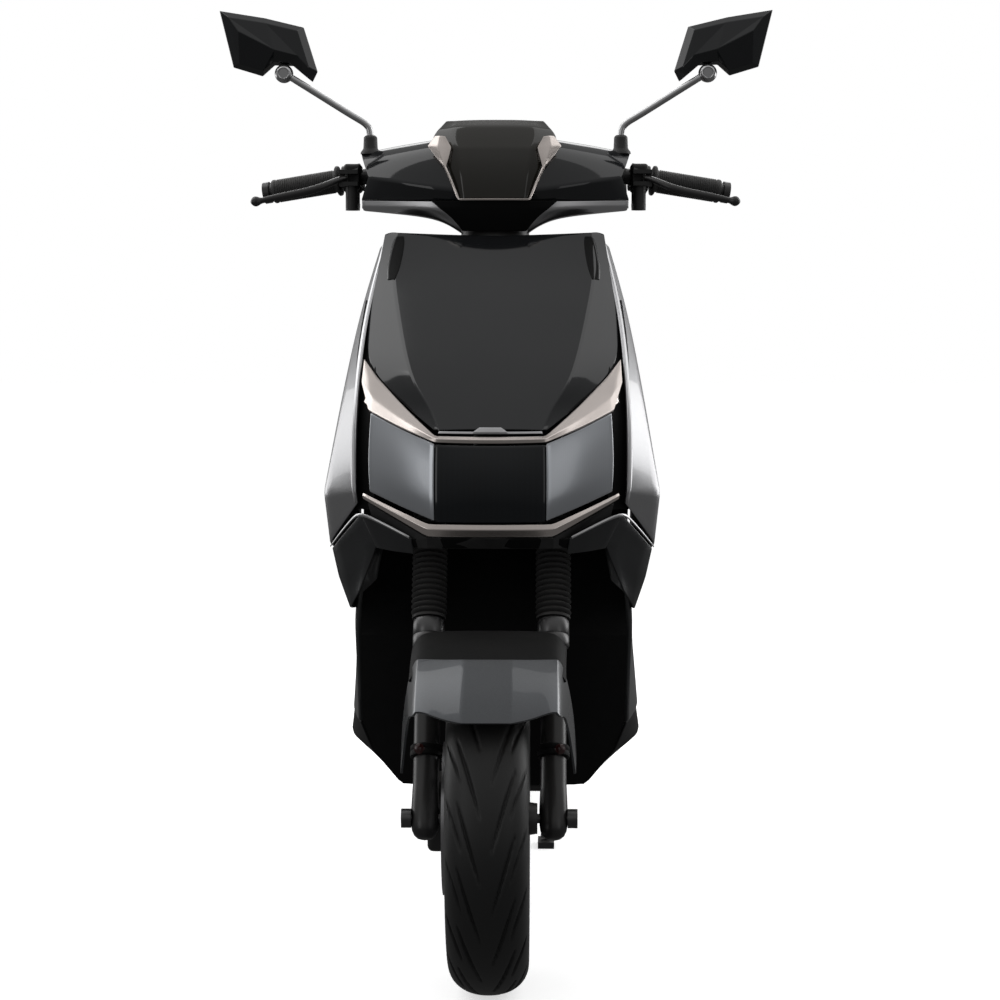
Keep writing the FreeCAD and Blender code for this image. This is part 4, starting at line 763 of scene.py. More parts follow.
GUARD_COLUMNS = [
    (0, 37, 252, 62, 243.5),
    (28.5, 37, 252, 62, 243.5),
    (52, 38.7, 247.5, 63, 240),
    (76, 42, 243, 64.5, 236.5),
    (84, 42, 241, 65, 235),
    (89, 41.5, 231, 66, 229),
]
GUARD_BLADES = [
    ((94, -826, 370), (98, -774, 398)),
    ((100, -790, 338), (105, -742, 350)),
    ((104, -770, 308), (107, -733, 322)),
    ((107, -757, 286), (108, -726, 300)),
]
guard_rows = []
for share in (0, 0.04, 0.3, 0.6, 0.96, 1):
    crown = [round_axle(x, a + (b - a) * share, low + (high - low) * share) for x, low, a, high, b in GUARD_COLUMNS]
    blades = [tuple(Vector(front).lerp(Vector(rear), share)) for front, rear in GUARD_BLADES]
    guard_rows.append(crown + blades)
skin(
    "front_guard", guard_rows, gunmetal_paint, "fork_lower", "gunmetal", ["front_mudguard"], level=3,
    column_crease={1: 1.0, 4: 0.5}, rim=1.0,
)
# A black part across the mudguard between the legs, in the extra-dark black: painted shade between fork and mudguard.
BRIDGE_SECTION = [(0, 236), (60, 235.5), (86, 233), (95, 216)]
bridge_rows = [[round_axle(x, radius, degrees) for x, radius in BRIDGE_SECTION] for degrees in (60, 70, 80, 90)]
skin("guard_bridge", bridge_rows, painted_shade_black, "fork_lower", "dark_plastic", level=3, rim=0.8)

# %% [markdown]
# ## Tyres with their tread
# A tyre is a ring whose section is round at the tread and straighter at the walls. The tread has two rows of thin
# pointed grooves on each side, leaning towards the middle, and the sides are staggered by half a step. A groove of
# this kind is far too fine for subdivision creases. A dense ring of vertices is made instead, and each vertex is
# pressed in by the depth of the groove that it lies in.

# %% Groove depth
TREAD_STEPS = 17
SLICES_PER_STEP = 22
TREAD_RADIUS = 215
GROOVES = [
    {"inner": 6.0, "outer": 35.0, "lean": 27.0, "start": 0.0, "wide": 2.3, "deep": 4.2},
    {"inner": 28.0, "outer": 47.5, "lean": 17.0, "start": 11.0, "wide": 1.9, "deep": 3.2},
]


def groove_depth(x, degrees):
    """How deep the tread is cut at a distance from the middle and an angle round the wheel."""
    shift = 0.0 if x > 0 else 0.5
    depth = 0.0
    for groove in GROOVES:
        along = (abs(x) - groove["inner"]) / (groove["outer"] - groove["inner"])
        if not 0.0 < along < 1.0:
            continue
        centre = groove["start"] + groove["lean"] * along + shift * 360 / TREAD_STEPS
        step = 360 / TREAD_STEPS
        off = (degrees - centre + step / 2) % step - step / 2
        slope = (groove["outer"] - groove["inner"]) / (math.radians(groove["lean"]) * TREAD_RADIUS)
        away = abs(math.radians(off) * TREAD_RADIUS) * slope / math.hypot(1, slope)
        wide = groove["wide"] * math.sin(math.pi * along) ** 0.45
        if away < wide:
            wall_slope = min(1.0, 2.6 * (1 - away / wide))
            depth = max(depth, groove["deep"] * wall_slope * math.sin(math.pi * along) ** 0.3)
    return depth


# %% Tyre section and ring
TREAD_START = 178
BEAD = [(-27, 131), (-36, 160), (-38, 178), (0, 204), (38, 178), (36, 160), (27, 131)]


def tyre_section():
    """Points across the tyre from one bead over the tread to the other: (across, radius)."""
    wall = [(33.8, 138.5), (34.6, 141), (37, 143), (41.5, 146.5), (45.5, 153), (48, 160), (49.3, 167), (49.9, 174)]
    tread = []
    for number in range(101):
        turn = math.radians(90 - 1.8 * number)
        across = 50 * math.copysign(abs(math.sin(turn)) ** 0.92, turn)
        tread.append((across, 175 + 42 * abs(math.cos(turn)) ** 0.88))
    return wall + tread + [(-x, r) for x, r in reversed(wall)] + BEAD


def make_tyre(name, centre, body, replaces):
    """A closed ring of the tyre's section, with its tread pressed in."""
    section = tyre_section()
    around = TREAD_STEPS * SLICES_PER_STEP
    corners = []
    for step in range(around):
        degrees = 360 * step / around
        out = Vector((0, -math.cos(math.radians(degrees)), math.sin(math.radians(degrees))))
        for x, radius in section:
            cut = groove_depth(x, degrees) if radius > TREAD_START else 0.0
            corners.append((Vector(centre) + Vector((x, 0, 0)) + out * (radius - cut)) * MM)
    wide = len(section)
    faces = []
    for step in range(around):
        for index in range(wide):
            a, b = step * wide + index, step * wide + (index + 1) % wide
            c, d = ((step + 1) % around) * wide + (index + 1) % wide, ((step + 1) % around) * wide + index
            faces.append((a, d, c, b))
    mesh = bpy.data.meshes.new(name)
    mesh.from_pydata(corners, [], faces)
    mesh.update()
    shade_smooth(mesh)
    return dress(link(bpy.data.objects.new(name, mesh)), tyre_rubber, body, replaces)


REAR_AXLE_Y = 622
front_ring = make_tyre("front_tread", (0, AXLE_Y, AXLE_Z), "front_wheel", ["front_tyre"])
make_tyre("rear_tread", (0, REAR_AXLE_Y, AXLE_Z), "rear_wheel", ["rear_tyre"])
print("vertices in a tyre:", len(front_ring.data.vertices))

# %% [markdown]
# ## The handlebar's cover, its visor and their trim
# The handlebar is hidden in a pod of two halves. The upper half is gloss black with a fold across its front, and a
# smoked visor stands over its middle. Where the visor's shoulders meet the cover sits a small metallic facet, which
# runs down beside the visor as a thin line.

# %% Handlebar cover
COVER_ROWS = [
    [(0, -360, 1000), (49, -358, 1000), (93, -346, 1000), (140, -325, 1001), (184, -300, 1003)],
    [(0, -365, 1008), (49, -363, 1009), (93, -354, 1016), (140, -334, 1026), (174, -307, 1034)],
    [(0, -345, 1070), (49, -343, 1070), (93, -334, 1068), (140, -313, 1062), (181.5, -291, 1052)],
    [(0, -302, 1094), (49, -302, 1092), (93, -298, 1084), (140, -280, 1078), (187, -262, 1069)],
    [(0, -232, 1086), (49, -230, 1084), (93, -226, 1080), (140, -218, 1075), (186, -215, 1067)],
    [(0, -206, 1040), (49, -206, 1040), (93, -204, 1040), (140, -202, 1037), (175, -203, 1034)],
]
skin(
    "bar_cover", COVER_ROWS, piano_black, "steering", "gloss_black", ["headset_cover"], level=3,
    row_crease={1: 1.0, 3: 0.4}, rim=1.0,
)
UNDERSIDE_ROWS = [
    [(46, -352, 998), (66, -349, 998), (93, -343, 998.5), (140, -322, 1000), (183, -297, 1001.5)],
    [(46, -350, 982), (68, -348, 987), (93, -342, 989.5), (140, -321, 992), (182.5, -297, 994)],
    [(45, -340, 958), (62, -340, 969), (86, -335, 980), (140, -315, 986.5), (181.5, -293, 990)],
    [(43, -318, 956), (60, -318, 968), (86, -314, 979), (140, -294, 985.5), (180, -274, 990)],
]
skin(
    "bar_underside", UNDERSIDE_ROWS, soft_silver, "steering", "silver_strip", wall=2, level=3, sides="pair",
    row_crease={1: 0.4, 2: 0.7}, rim=0.5,
)
# The neck under the cover is in the extra-dark black: painted shade under the cover.
NECK_ROWS = [
    [(0, -362, 999), (40, -358, 999), (86, -350, 999)],
    [(0, -360, 990), (40, -356, 990), (76, -351, 990.5)],
    [(0, -354, 976), (32, -352, 976), (57, -348, 977.5)],
    [(0, -344, 959), (26, -343, 959), (43, -340, 959)],
]
skin("neck_cover", NECK_ROWS, painted_shade_black, "steering", "dark_plastic", level=3, row_crease={1: 0.5})

# %% Visor
VISOR_ROWS = [
    [(0, -369, 1000), (24, -368.5, 1000), (40, -367.5, 1000), (47, -364, 1000)],
    [(0, -367.5, 1026), (26, -367, 1026), (44, -365.5, 1026), (57, -357, 1026)],
    [(0, -363, 1052), (28, -362.5, 1052), (47, -360.5, 1052), (66, -349, 1052)],
    [(0, -356, 1070), (30, -355.5, 1070), (50, -353, 1070), (75, -338, 1070)],
    [(0, -345, 1087), (34, -344, 1087), (58, -340, 1086), (88, -325, 1083)],
    [(0, -333, 1101), (33, -332, 1101), (56, -328, 1100), (78, -317, 1097)],
    [(0, -308, 1112), (30, -307.5, 1112), (50, -306, 1111), (67, -303, 1110)],
]
skin(
    "visor_shield", VISOR_ROWS, smoked_visor, "steering", "visor_smoke", ["visor"], level=3,
    column_crease={2: 0.9}, row_crease={3: 0.8, 5: 0.4}, rim=1.0,
)

# %% Facets beside the visor
SHOULDER_ROWS = [
    [(46.5, -368, 999.5), (47.8, -368.5, 999.5), (49.5, -366.5, 999.5)],
    [(55, -364, 1022), (56.5, -364.5, 1022), (58.5, -362, 1022)],
    [(65.5, -357, 1045), (67.5, -358, 1045.5), (70, -354, 1046)],
    [(61.5, -355, 1058), (73, -354, 1060), (81, -346, 1060)],
    [(58.6, -352, 1071), (76, -348.5, 1073), (91, -336, 1074)],
    [(67, -346, 1086), (75, -342.5, 1087), (81, -337, 1087)],
]
skin(
    "visor_shoulders", SHOULDER_ROWS, champagne, "steering", "champagne", ["visor_trim"], wall=2, level=3,
    sides="pair", column_crease={1: 0.9}, row_crease={2: 0.8, 4: 0.9, 5: 1.0}, rim=0.3,
)
LIP_ROWS = [
    [(0, -370.3, 998.6), (24, -369.3, 998.6), (47, -366.5, 998.6)],
    [(0, -370.5, 1001), (24, -369.6, 1001), (47.5, -366.8, 1001)],
]
skin("visor_lip", LIP_ROWS, champagne, "steering", "champagne", wall=1.5, level=2, rim=0.3)

# %% [markdown]
# ## The mirrors
# Each mirror has a black shell, cut in facets like the rest of the scooter, round a flat glass. The shell starts as
# the glass's outline and rises to a short ridge. Flat facets with a narrow bevel catch the light one by one.

# %% Mirror shells and glasses
MIRROR_MIDDLE = (312, 1211)
MIRROR_EDGE = [
    (384, 1266), (321, 1256), (267, 1243), (248, 1182), (255, 1168), (281, 1190), (308, 1191), (325, 1176),
    (365, 1188),
]


def face_outwards(mesh, merge=None):
    """Turns every face outwards, once corners nearer to each other than merge are one."""
    shape = bmesh.new()
    shape.from_mesh(mesh)
    if merge:
        bmesh.ops.remove_doubles(shape, verts=shape.verts, dist=merge)
    bmesh.ops.recalc_face_normals(shape, faces=shape.faces)
    shape.to_mesh(mesh)
    shape.free()


def scaled_ring(factor, y):
    """The mirror's outline drawn in towards its middle, at one depth."""
    middle_x, middle_z = MIRROR_MIDDLE
    return [(middle_x + (x - middle_x) * factor, y, middle_z + (z - middle_z) * factor) for x, z in MIRROR_EDGE]


def make_mirror(side, name, body, node):
    """The shell and the glass of one mirror."""
    depths = ((0.94, -249.0), (0.985, -247.2), (1.0, -250.5), (1.0, -256.0), (0.82, -266.0))
    rings = [scaled_ring(factor, y) for factor, y in depths]
    ridge = [(356, -275, 1236), (306, -276, 1210), (274, -271, 1202)]
    corners = [point for ring in rings for point in ring] + ridge
    count = len(MIRROR_EDGE)
    faces = []
    for ring in range(len(rings) - 1):
        for index in range(count):
            here, after = ring * count + index, ring * count + (index + 1) % count
            faces.append((here, after, after + count, here + count))
    last = (len(rings) - 1) * count
    top, mid, low = len(corners) - 3, len(corners) - 2, len(corners) - 1
    faces += [(last, last + 1, mid, top), (last + 1, last + 2, low, mid)]
    faces += [(last + 2, last + 3, low), (last + 3, last + 4, low), (last + 4, last + 5, low)]
    faces += [
        (last + 5, last + 6, mid, low), (last + 6, last + 7, mid), (last + 7, last + 8, top, mid),
        (last + 8, last, top),
    ]
    faces.append(tuple(range(count)))
    mesh = bpy.data.meshes.new(f"mirror_shell_{name}")
    mesh.from_pydata([Vector((side * x, y, z)) * MM for x, y, z in corners], [], faces)
    face_outwards(mesh)
    shell = link(bpy.data.objects.new(f"mirror_shell_{name}", mesh))
    edge = shell.modifiers.new("facet edges", "BEVEL")
    edge.width = 1.6 * MM
    edge.segments = 3
    edge.limit_method = "ANGLE"
    edge.angle_limit = math.radians(4)
    dress(shell, piano_black, body, [node])
    face = bpy.data.meshes.new(f"mirror_glass_{name}")
    ring = [Vector((side * x, y, z)) * MM for x, y, z in scaled_ring(0.93, -248.6)]
    face.from_pydata(ring, [], [tuple(range(count))])
    glass = link(bpy.data.objects.new(f"mirror_glass_{name}", face))
    thick = glass.modifiers.new("glass", "SOLIDIFY")
    thick.thickness = 1.2 * MM
    thick.offset = 0
    soft = glass.modifiers.new("ground edge", "BEVEL")
    soft.width = 0.4 * MM
    return dress(glass, mirror_face, body)


make_mirror(1, "left", "left_mirror", "mirror_left")
make_mirror(-1, "right", "right_mirror", "mirror_right")

# %% [markdown]
# ## Mirror stems
# A stem is a steel rod that rises from a black rubber boot on the cover and bends outwards to a small knuckle, where
# the mirror tilts. A bevelled curve makes the rod; its NURBS line bends as a tube bender would leave it.

# %% Stems and knuckles
def make_stem(side, name):
    """The bent rod of one mirror as a bevelled curve."""
    line = bpy.data.curves.new(name, "CURVE")
    line.dimensions = "3D"
    line.bevel_depth = 4.8 * MM
    line.bevel_resolution = 5
    line.use_fill_caps = True
    route = [
        (174, -262, 1084), (174.5, -262, 1099), (179, -262, 1109), (200, -262, 1121), (240, -262, 1146),
        (286, -262, 1174.5),
    ]
    spline = line.splines.new("NURBS")
    spline.points.add(len(route) - 1)
    for point, (x, y, z) in zip(spline.points, route):
        point.co = (side * x * MM, y * MM, z * MM, 1)
    spline.order_u = 3
    spline.use_endpoint_u = True
    return dress(link(bpy.data.objects.new(name, line)), stem_grey, "steering")


# %% [markdown]
# ## Turned pieces
# Grips, eyes and rims are round about an axis. One function turns an outline of (along, radius) about any line, just
# as a lathe does. Ribs are simply more corners in the outline.

# %% The lathe
def lathe(name, outline, start, axis, material, body, replaces=(), around=64, closed=False):
    """Turns an outline of (along, radius) in millimetres about an axis from start."""
    axis = Vector(axis).normalized()
    side = axis.orthogonal().normalized()
    up = axis.cross(side)
    corners = []
    for step in range(around):
        turn = 2 * math.pi * step / around
        out = side * math.cos(turn) + up * math.sin(turn)
        corners += [(Vector(start) + axis * along + out * radius) * MM for along, radius in outline]
    wide = len(outline)
    last = wide if closed else wide - 1
    faces = [
        (
            s * wide + i, s * wide + (i + 1) % wide, ((s + 1) % around) * wide + (i + 1) % wide,
            ((s + 1) % around) * wide + i,
        )
        for s in range(around)
        for i in range(last)
    ]
    mesh = bpy.data.meshes.new(name)
    mesh.from_pydata(corners, [], faces)
    face_outwards(mesh, merge=0.02 * MM)
    shade_smooth(mesh)
    mesh.set_sharp_from_angle(angle=math.radians(40))
    return dress(link(bpy.data.objects.new(name, mesh)), material, body, replaces)


# %% Boots, rods and knuckles of the mirrors
for side, name in SIDES:
    lathe(
        f"mirror_boot_{name}",
        [(0, 0), (0, 14), (3, 13.4), (6, 11), (8, 10), (22, 9.4), (23.5, 9), (25.5, 7), (26, 5.4), (26, 0)],
        (side * 174, -262, 1067.5),
        (0, 0, 1),
        soft_rubber,
        "steering",
        ["mirror_stems"] if side == 1 else [],
    )
    make_stem(side, f"mirror_rod_{name}")
    lathe(
        f"mirror_knuckle_{name}",
        [
            (0, 0), (0, 6), (1.2, 9), (4, 11.6), (9, 12.8), (13, 12.8), (18, 11.6), (21, 9), (21.6, 7.6),
            (20.6, 6.6), (20.6, 0),
        ],
        (side * 294, -251, 1178.5),
        (0, -1, 0),
        stem_grey,
        "steering",
    )

# %% Ribbed grips
BAR_BEND = Vector((180, -237.3, 1038.3))
BAR_LINE = Vector((145, 22.3, -22.3)).normalized()


def on_bar(x, side=1):
    """The handlebar's centre line at a distance from the middle."""
    place = BAR_BEND + BAR_LINE * ((x - BAR_BEND.x) / BAR_LINE.x)
    return Vector((side * place.x, place.y, place.z))


grip_outline = [(0, 11.2), (0, 20.5), (1.2, 21), (3, 21), (4.2, 20), (5, 16.4), (8, 15.2)]
for rib in range(30):
    along = 9 + rib * 2.73
    grip_outline += [(along, 15.5), (along + 0.5, 16.2), (along + 1.6, 16.2), (along + 2.1, 15.5)]
grip_outline += [(92, 15.3), (93, 16.5), (96, 16.5), (97.5, 15.5), (97.5, 11.2)]
for side, name, body, node in (
    (1, "grip_sleeve_left", "steering", "grip_left"), (-1, "grip_sleeve_right", "throttle", "throttle_grip"),
):
    axis = Vector((side * BAR_LINE.x, BAR_LINE.y, BAR_LINE.z))
    lathe(name, grip_outline, on_bar(218.6, side), axis, soft_rubber, body, [node], closed=True)

# %% [markdown]
# ## Brake levers
# A lever is a cast blade, thick at its pivot, flat and slim along the hand, and it ends in a ball so that it can't
# pierce anything. The blade follows a curve. Its section is an oval that changes along the way.

# %% Lever blades
LEVER_LINE = [
    ((206, -272, 1034), 7.6, 3.9),
    ((214, -276, 1033), 7.0, 4.2),
    ((226, -286, 1027), 6.0, 4.8),
    ((240, -296, 1020), 5.2, 5.2),
    ((262, -300, 1013), 4.4, 5.6),
    ((292, -301, 1007.5), 4.0, 5.4),
    ((312, -301, 1003.5), 3.6, 4.8),
    ((322, -301, 1001.6), 3.4, 3.6),
    ((325, -301, 1001), 5.4, 5.4),
    ((330, -301, 1000.4), 7.9, 7.9),
    ((335, -301, 999.8), 5.6, 5.6),
    ((337.6, -301, 999.5), 1.0, 1.0),
]


def make_lever(side, name, body, node):
    """A blade of oval sections along the lever's line."""
    places = [Vector((side * x, y, z)) for (x, y, z), _, _ in LEVER_LINE]
    around = 20
    corners = []
    for index, (place, (_, wide, tall)) in enumerate(zip(places, LEVER_LINE)):
        ahead = (places[min(index + 1, len(places) - 1)] - places[max(index - 1, 0)]).normalized()
        across = ahead.cross(Vector((0, 0, 1))).normalized()
        up = across.cross(ahead)
        for step in range(around):
            turn = 2 * math.pi * step / around
            corners.append((place + across * math.cos(turn) * wide + up * math.sin(turn) * tall) * MM)
    faces = [
        (r * around + s, r * around + (s + 1) % around, (r + 1) * around + (s + 1) % around, (r + 1) * around + s)
        for r in range(len(places) - 1)
        for s in range(around)
    ]
    faces += [tuple(range(around)), tuple((len(places) - 1) * around + s for s in range(around))]
    mesh = bpy.data.meshes.new(name)
    mesh.from_pydata(corners, [], faces)
    face_outwards(mesh)
    shade_smooth(mesh)
    blade = link(bpy.data.objects.new(name, mesh))
    smooth = blade.modifiers.new("cast surface", "SUBSURF")
    smooth.levels = smooth.render_levels = 2
    return dress(blade, satin_black, body, [node])


make_lever(1, "brake_blade_left", "left_lever", "lever_left")
make_lever(-1, "brake_blade_right", "right_lever", "lever_right")

# %% Turned bosses below the switch housings
for side, name in SIDES:
    lathe(
        f"perch_boss_{name}",
        [(0, 0), (0, 6.5), (1.2, 9.2), (4, 10.2), (9, 10.2), (10, 9.4), (20, 9.4), (24, 9), (24, 0)],
        (side * 199, -260, 989.5),
        (0, -0.04, 1),
        grained_black,
        "steering",
    )

# %% [markdown]
# ## Rubber gaiters
# A folded rubber sleeve keeps dirt off the fork's sliding tubes. It is a lathe job with many small folds. When the fork
# dives the sleeve is squeezed; here it is carried by the steering.

# %% Fork gaiters
FORK_UP = Vector((0, math.sin(math.radians(26)), math.cos(math.radians(26))))
FORK_BACK = Vector((0, math.cos(math.radians(26)), -math.sin(math.radians(26))))


def on_fork(x, behind, up):
    """A point beside the fork's steering axis: across, behind it, and up along it from the axle's level."""
    return Vector((x, -656.54, 201.66)) + FORK_BACK * behind + FORK_UP * up


gaiter_outline = [(0, 14.5), (0, 21.5), (3, 22)]
for fold in range(19):
    along = 5 + fold * 7.5
    gaiter_outline += [(along, 19), (along + 2, 22.2), (along + 3.8, 23.2), (along + 5.6, 22.2)]
gaiter_outline += [(148, 20), (151, 20), (151, 14.5)]
for side, name in SIDES:
    sleeve = lathe(
        f"gaiter_{name}",
        gaiter_outline,
        on_fork(side * 80, -35, 262.8),
        FORK_UP,
        soft_rubber,
        "steering",
        ["fork_gaiters"] if side == 1 else [],
        closed=True,
    )
    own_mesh(sleeve)

# %% [markdown]
# ## The fork's lower legs
# A lower leg is a slim casting that closes round the axle. It carries a cap above the mudguard, a collar below it
# and a little red reflector beside its blades. All of them are round, so each is one outline for the lathe.

# %% Lower legs with their caps and collars
LEG_OUTLINE = [
    (-27, 0), (-27, 5), (-25.5, 9.5), (-22, 13.5), (-16, 16.4), (-8, 17.6), (10, 17.8), (26, 17.2), (40, 16.6),
    (42, 16.4),
]
LEG_OUTLINE += [(200, 16.4), (222, 17.2), (226, 18.8), (229, 19.4), (258, 19.4), (261, 18.6), (261.5, 17), (261.5, 0)]
for side, name in SIDES:
    lathe(
        f"fork_leg_{name}",
        LEG_OUTLINE,
        on_fork(side * 80, -35, 0),
        FORK_UP,
        satin_black,
        "fork_lower",
        ["fork_legs"] if side == 1 else [],
    )
    lathe(
        f"leg_cap_{name}",
        [
            (0, 16), (0, 19.6), (2, 20.4), (14, 20.4), (15, 19.8), (16, 20.4), (33, 20.4), (36, 19.4),
            (37.4, 17), (37.4, 16),
        ],
        on_fork(side * 80, -35, 225),
        FORK_UP,
        dark_steel,
        "fork_lower",
        closed=True,
    )
    # The collar is in the extra-dark black: painted shade low on the leg, below the mudguard.
    lathe(
        f"leg_collar_{name}",
        [(0, 16), (0, 19.4), (1, 20.4), (6, 20.8), (7.5, 20.2), (9, 20.8), (14, 20.4), (15, 19.4), (15, 16)],
        on_fork(side * 80, -35, 78),
        FORK_UP,
        painted_shade_black,
        "fork_lower",
        closed=True,
    )

# %% Fork reflectors
for side, name in SIDES:
    place = on_fork(side * 88, -52, 85)
    lathe(
        f"fork_reflector_{name}",
        [(0, 0), (0, 6.5), (2, 7), (4, 6.6), (5, 5), (5.6, 2.5), (5.8, 0)],
        place,
        (0, -1, 0.1),
        reflector_red,
        "fork_lower",
    )

# %% [markdown]
# ## The rear body
# Behind the seat's pillar, silver side panels sweep back to the tail lamp. They get the same treatment as the front:
# rows of corners with one crease along the widest line.

# %% Rear body panels
REAR_LOW = [(144, 74, 338), (152, 190, 372), (158, 330, 470), (152, 480, 520), (126, 640, 560), (84, 768, 608)]
REAR_WIDE = [(146, 70, 500), (160, 190, 540), (166, 330, 578), (158, 480, 600), (130, 640, 622), (86, 774, 640)]
REAR_TOP = [(130, 58, 688), (140, 190, 692), (146, 330, 694), (142, 480, 696), (118, 640, 698), (80, 770, 700)]
skin(
    "rear_sides", [REAR_LOW, REAR_WIDE, REAR_TOP], silver_paint, "chassis", "silver_paint",
    ["rear_body_panels"], level=3, sides="pair", row_crease={1: 0.8},
)
PILLAR_ROWS = [
    [(0, 66, 338), (70, 66, 338), (124, 70, 338), (140, 74, 338)],
    [(0, 60, 500), (70, 60, 500), (126, 64, 500), (142, 70, 500)],
    [(0, 45, 686), (66, 47, 686), (112, 51, 686), (127, 58, 686)],
]
skin("seat_pillar_front", PILLAR_ROWS, grained_black, "chassis", "dark_plastic", level=3, column_crease={2: 0.5})

# %% [markdown]
# ## Tail lamp, indicators and rear mudguard
# The tail lamp is a bowed red lens with a thin black rib across it. Below it hangs the rear mudguard, whose plain CAD
# shape is right already. Two indicators stick out from it on short black stalks. Stalks and bodies are lathe work,
# and the lenses are sheets like the panels.

# %% Tail lamp
TAIL_ROWS = [
    [(0, 786, 612), (44, 784, 612), (80, 772, 616)],
    [(0, 793, 632), (44, 791, 632), (80, 778, 635)],
    [(0, 794, 670), (42, 792, 670), (76, 778, 674)],
    [(0, 788, 694), (40, 786, 694), (72, 774, 696)],
]
skin(
    "tail_lens", TAIL_ROWS[::-1], tail_red, "chassis", "red_lens", ["rear_lights"], wall=6, level=3,
    row_crease={1: 0.4, 2: 0.4}, rim=1.5,
)
rib_rows = []
for out, high in ((0.0, 655), (3.5, 653), (0.0, 651)):
    row = [(across, 793 + out + back, high + lift) for across, back, lift in ((0, 1, 0), (44, -1, 0), (79, -13, 2))]
    rib_rows.append(row)
skin("tail_rib", rib_rows, satin_black, "chassis", "dark_plastic", wall=1.5, level=2, rim=0.3)

# %% Indicators
INDICATOR_Y, INDICATOR_Z = 862, 468
for side, name in SIDES:
    lathe(
        f"indicator_stalk_{name}",
        [(0, 0), (0, 9), (3, 9), (5, 6), (12, 5), (15, 5.4), (18, 5), (21, 5.4), (24, 5), (33, 6), (36, 8), (36, 0)],
        (side * 34, INDICATOR_Y, INDICATOR_Z),
        (side, 0, 0),
        soft_rubber,
        "chassis",
    )
    lathe(
        f"indicator_body_{name}",
        [(0, 0), (0, 7), (1.5, 10), (6, 12.4), (36, 12.9), (43, 11.6), (46, 8), (46.5, 0)],
        (side * 68.5, INDICATOR_Y, INDICATOR_Z),
        (side, 0, 0),
        satin_black,
        "chassis",
    )
    lens_rows = []
    for along in (73, 76, 92, 106, 109):
        reach = 10.4 if along in (73, 109) else 12.6
        row = []
        for turn in (math.radians(degrees) for degrees in (62, 35, 0, -35, -62)):
            back, high = (reach + 1.6) * math.cos(turn), reach * math.sin(turn)
            row.append((side * along, INDICATOR_Y + back, INDICATOR_Z + high))
        lens_rows.append(row)
    skin(
        f"indicator_lens_{name}", lens_rows, signal_amber, "chassis", "red_lens", wall=-1.2, level=3,
        sides="only", rim=0.4,
    )

# %% [markdown]
# ## The seat
# A moped's seat is foam under stretched artificial leather: the rider's part dips, the passenger's part stands
# higher, and the cover is sewn along the edge of the top and across the step. The foam's form is lofted from sections,
# remeshed to an even net, and then blown up a little as cloth under pressure, which gives the soft tension between
# the seams. The seams are pressed in afterwards, because a remesh would lose them.

# %% Foam form
SEAT_SECTIONS = [
    (72, 60, 726),
    (78, 80, 738),
    (100, 98, 752),
    (150, 115, 762),
    (230, 126, 765),
    (320, 130, 762),
    (390, 129, 763),
    (440, 125, 774),
    (490, 121, 788),
    (560, 113, 791),
    (630, 97, 787),
    (672, 76, 774),
    (692, 52, 756),
]
SEAT_BOTTOM = 712.5
SEAT_STEPS = 28


def seat_ring(along, half, top):
    """One section of the foam, from a flat base round two full shoulders."""
    ring = []
    for step in range(SEAT_STEPS):
        turn = 2 * math.pi * step / SEAT_STEPS
        wide, tall = math.cos(turn), math.sin(turn)
        x = half * math.copysign(abs(wide) ** 0.55, wide)
        middle = SEAT_BOTTOM + (top - SEAT_BOTTOM) * 0.42
        above = (top - middle) * abs(tall) ** 0.62
        below = (middle - SEAT_BOTTOM) * abs(tall) ** 0.4
        z = middle + above if tall > 0 else middle - below
        ring.append(Vector((x, along, z)) * MM)
    return ring


foam = bmesh.new()
rings = [[foam.verts.new(corner) for corner in seat_ring(*section)] for section in SEAT_SECTIONS]
for ring, following in zip(rings, rings[1:]):
    for step in range(SEAT_STEPS):
        after = (step + 1) % SEAT_STEPS
        foam.faces.new((ring[step], following[step], following[after], ring[after]))
foam.faces.new(rings[0])
foam.faces.new(reversed(rings[-1]))
bmesh.ops.recalc_face_normals(foam, faces=foam.faces)
seat_mesh = bpy.data.meshes.new("seat_pad")
foam.to_mesh(seat_mesh)
foam.free()
seat_pad = link(bpy.data.objects.new("seat_pad", seat_mesh))


# %% Stretch the cover over the foam
def bake_modifiers(obj):
    """Replaces an object's mesh with its own modified mesh."""
    graph = bpy.context.evaluated_depsgraph_get()
    graph.update()
    finished = bpy.data.meshes.new_from_object(obj.evaluated_get(graph))
    obj.modifiers.clear()
    obj.data = finished


SWELL_CAP = 5 * MM
SWELL_FRAMES = 15
net = seat_pad.modifiers.new("even net", "REMESH")
net.mode = "VOXEL"
net.voxel_size = 6 * MM
bake_modifiers(seat_pad)
start = [vertex.co.copy() for vertex in seat_pad.data.vertices]
cloth = seat_pad.modifiers.new("cover", "CLOTH")
cloth.settings.use_pressure = True
cloth.settings.uniform_pressure_force = 4
cloth.settings.effector_weights.gravity = 0
for step in range(1, SWELL_FRAMES + 1):
    bpy.context.scene.frame_set(step)
bake_modifiers(seat_pad)
bpy.context.scene.frame_set(1)
for vertex, place in zip(seat_pad.data.vertices, start):
    move = vertex.co - place
    if move.length > SWELL_CAP:
        vertex.co = place + move.normalized() * SWELL_CAP
print("seat vertices:", len(seat_pad.data.vertices))

# %% Press the seams in
STEP_Y = 432
SEAT_REST = 711


def seat_size_at(y):
    """The seat's half width and top at one place along it."""
    for (near, half_a, top_a), (far, half_b, top_b) in zip(SEAT_SECTIONS, SEAT_SECTIONS[1:]):
        if near <= y <= far:
            share = (y - near) / (far - near)
            return half_a + (half_b - half_a) * share, top_a + (top_b - top_a) * share
    return 60, 740


def stitched(distance, deep, wide):
    """The dent beside one seam: deepest on the seam itself."""
    return deep * math.exp(-((distance / wide) ** 2))


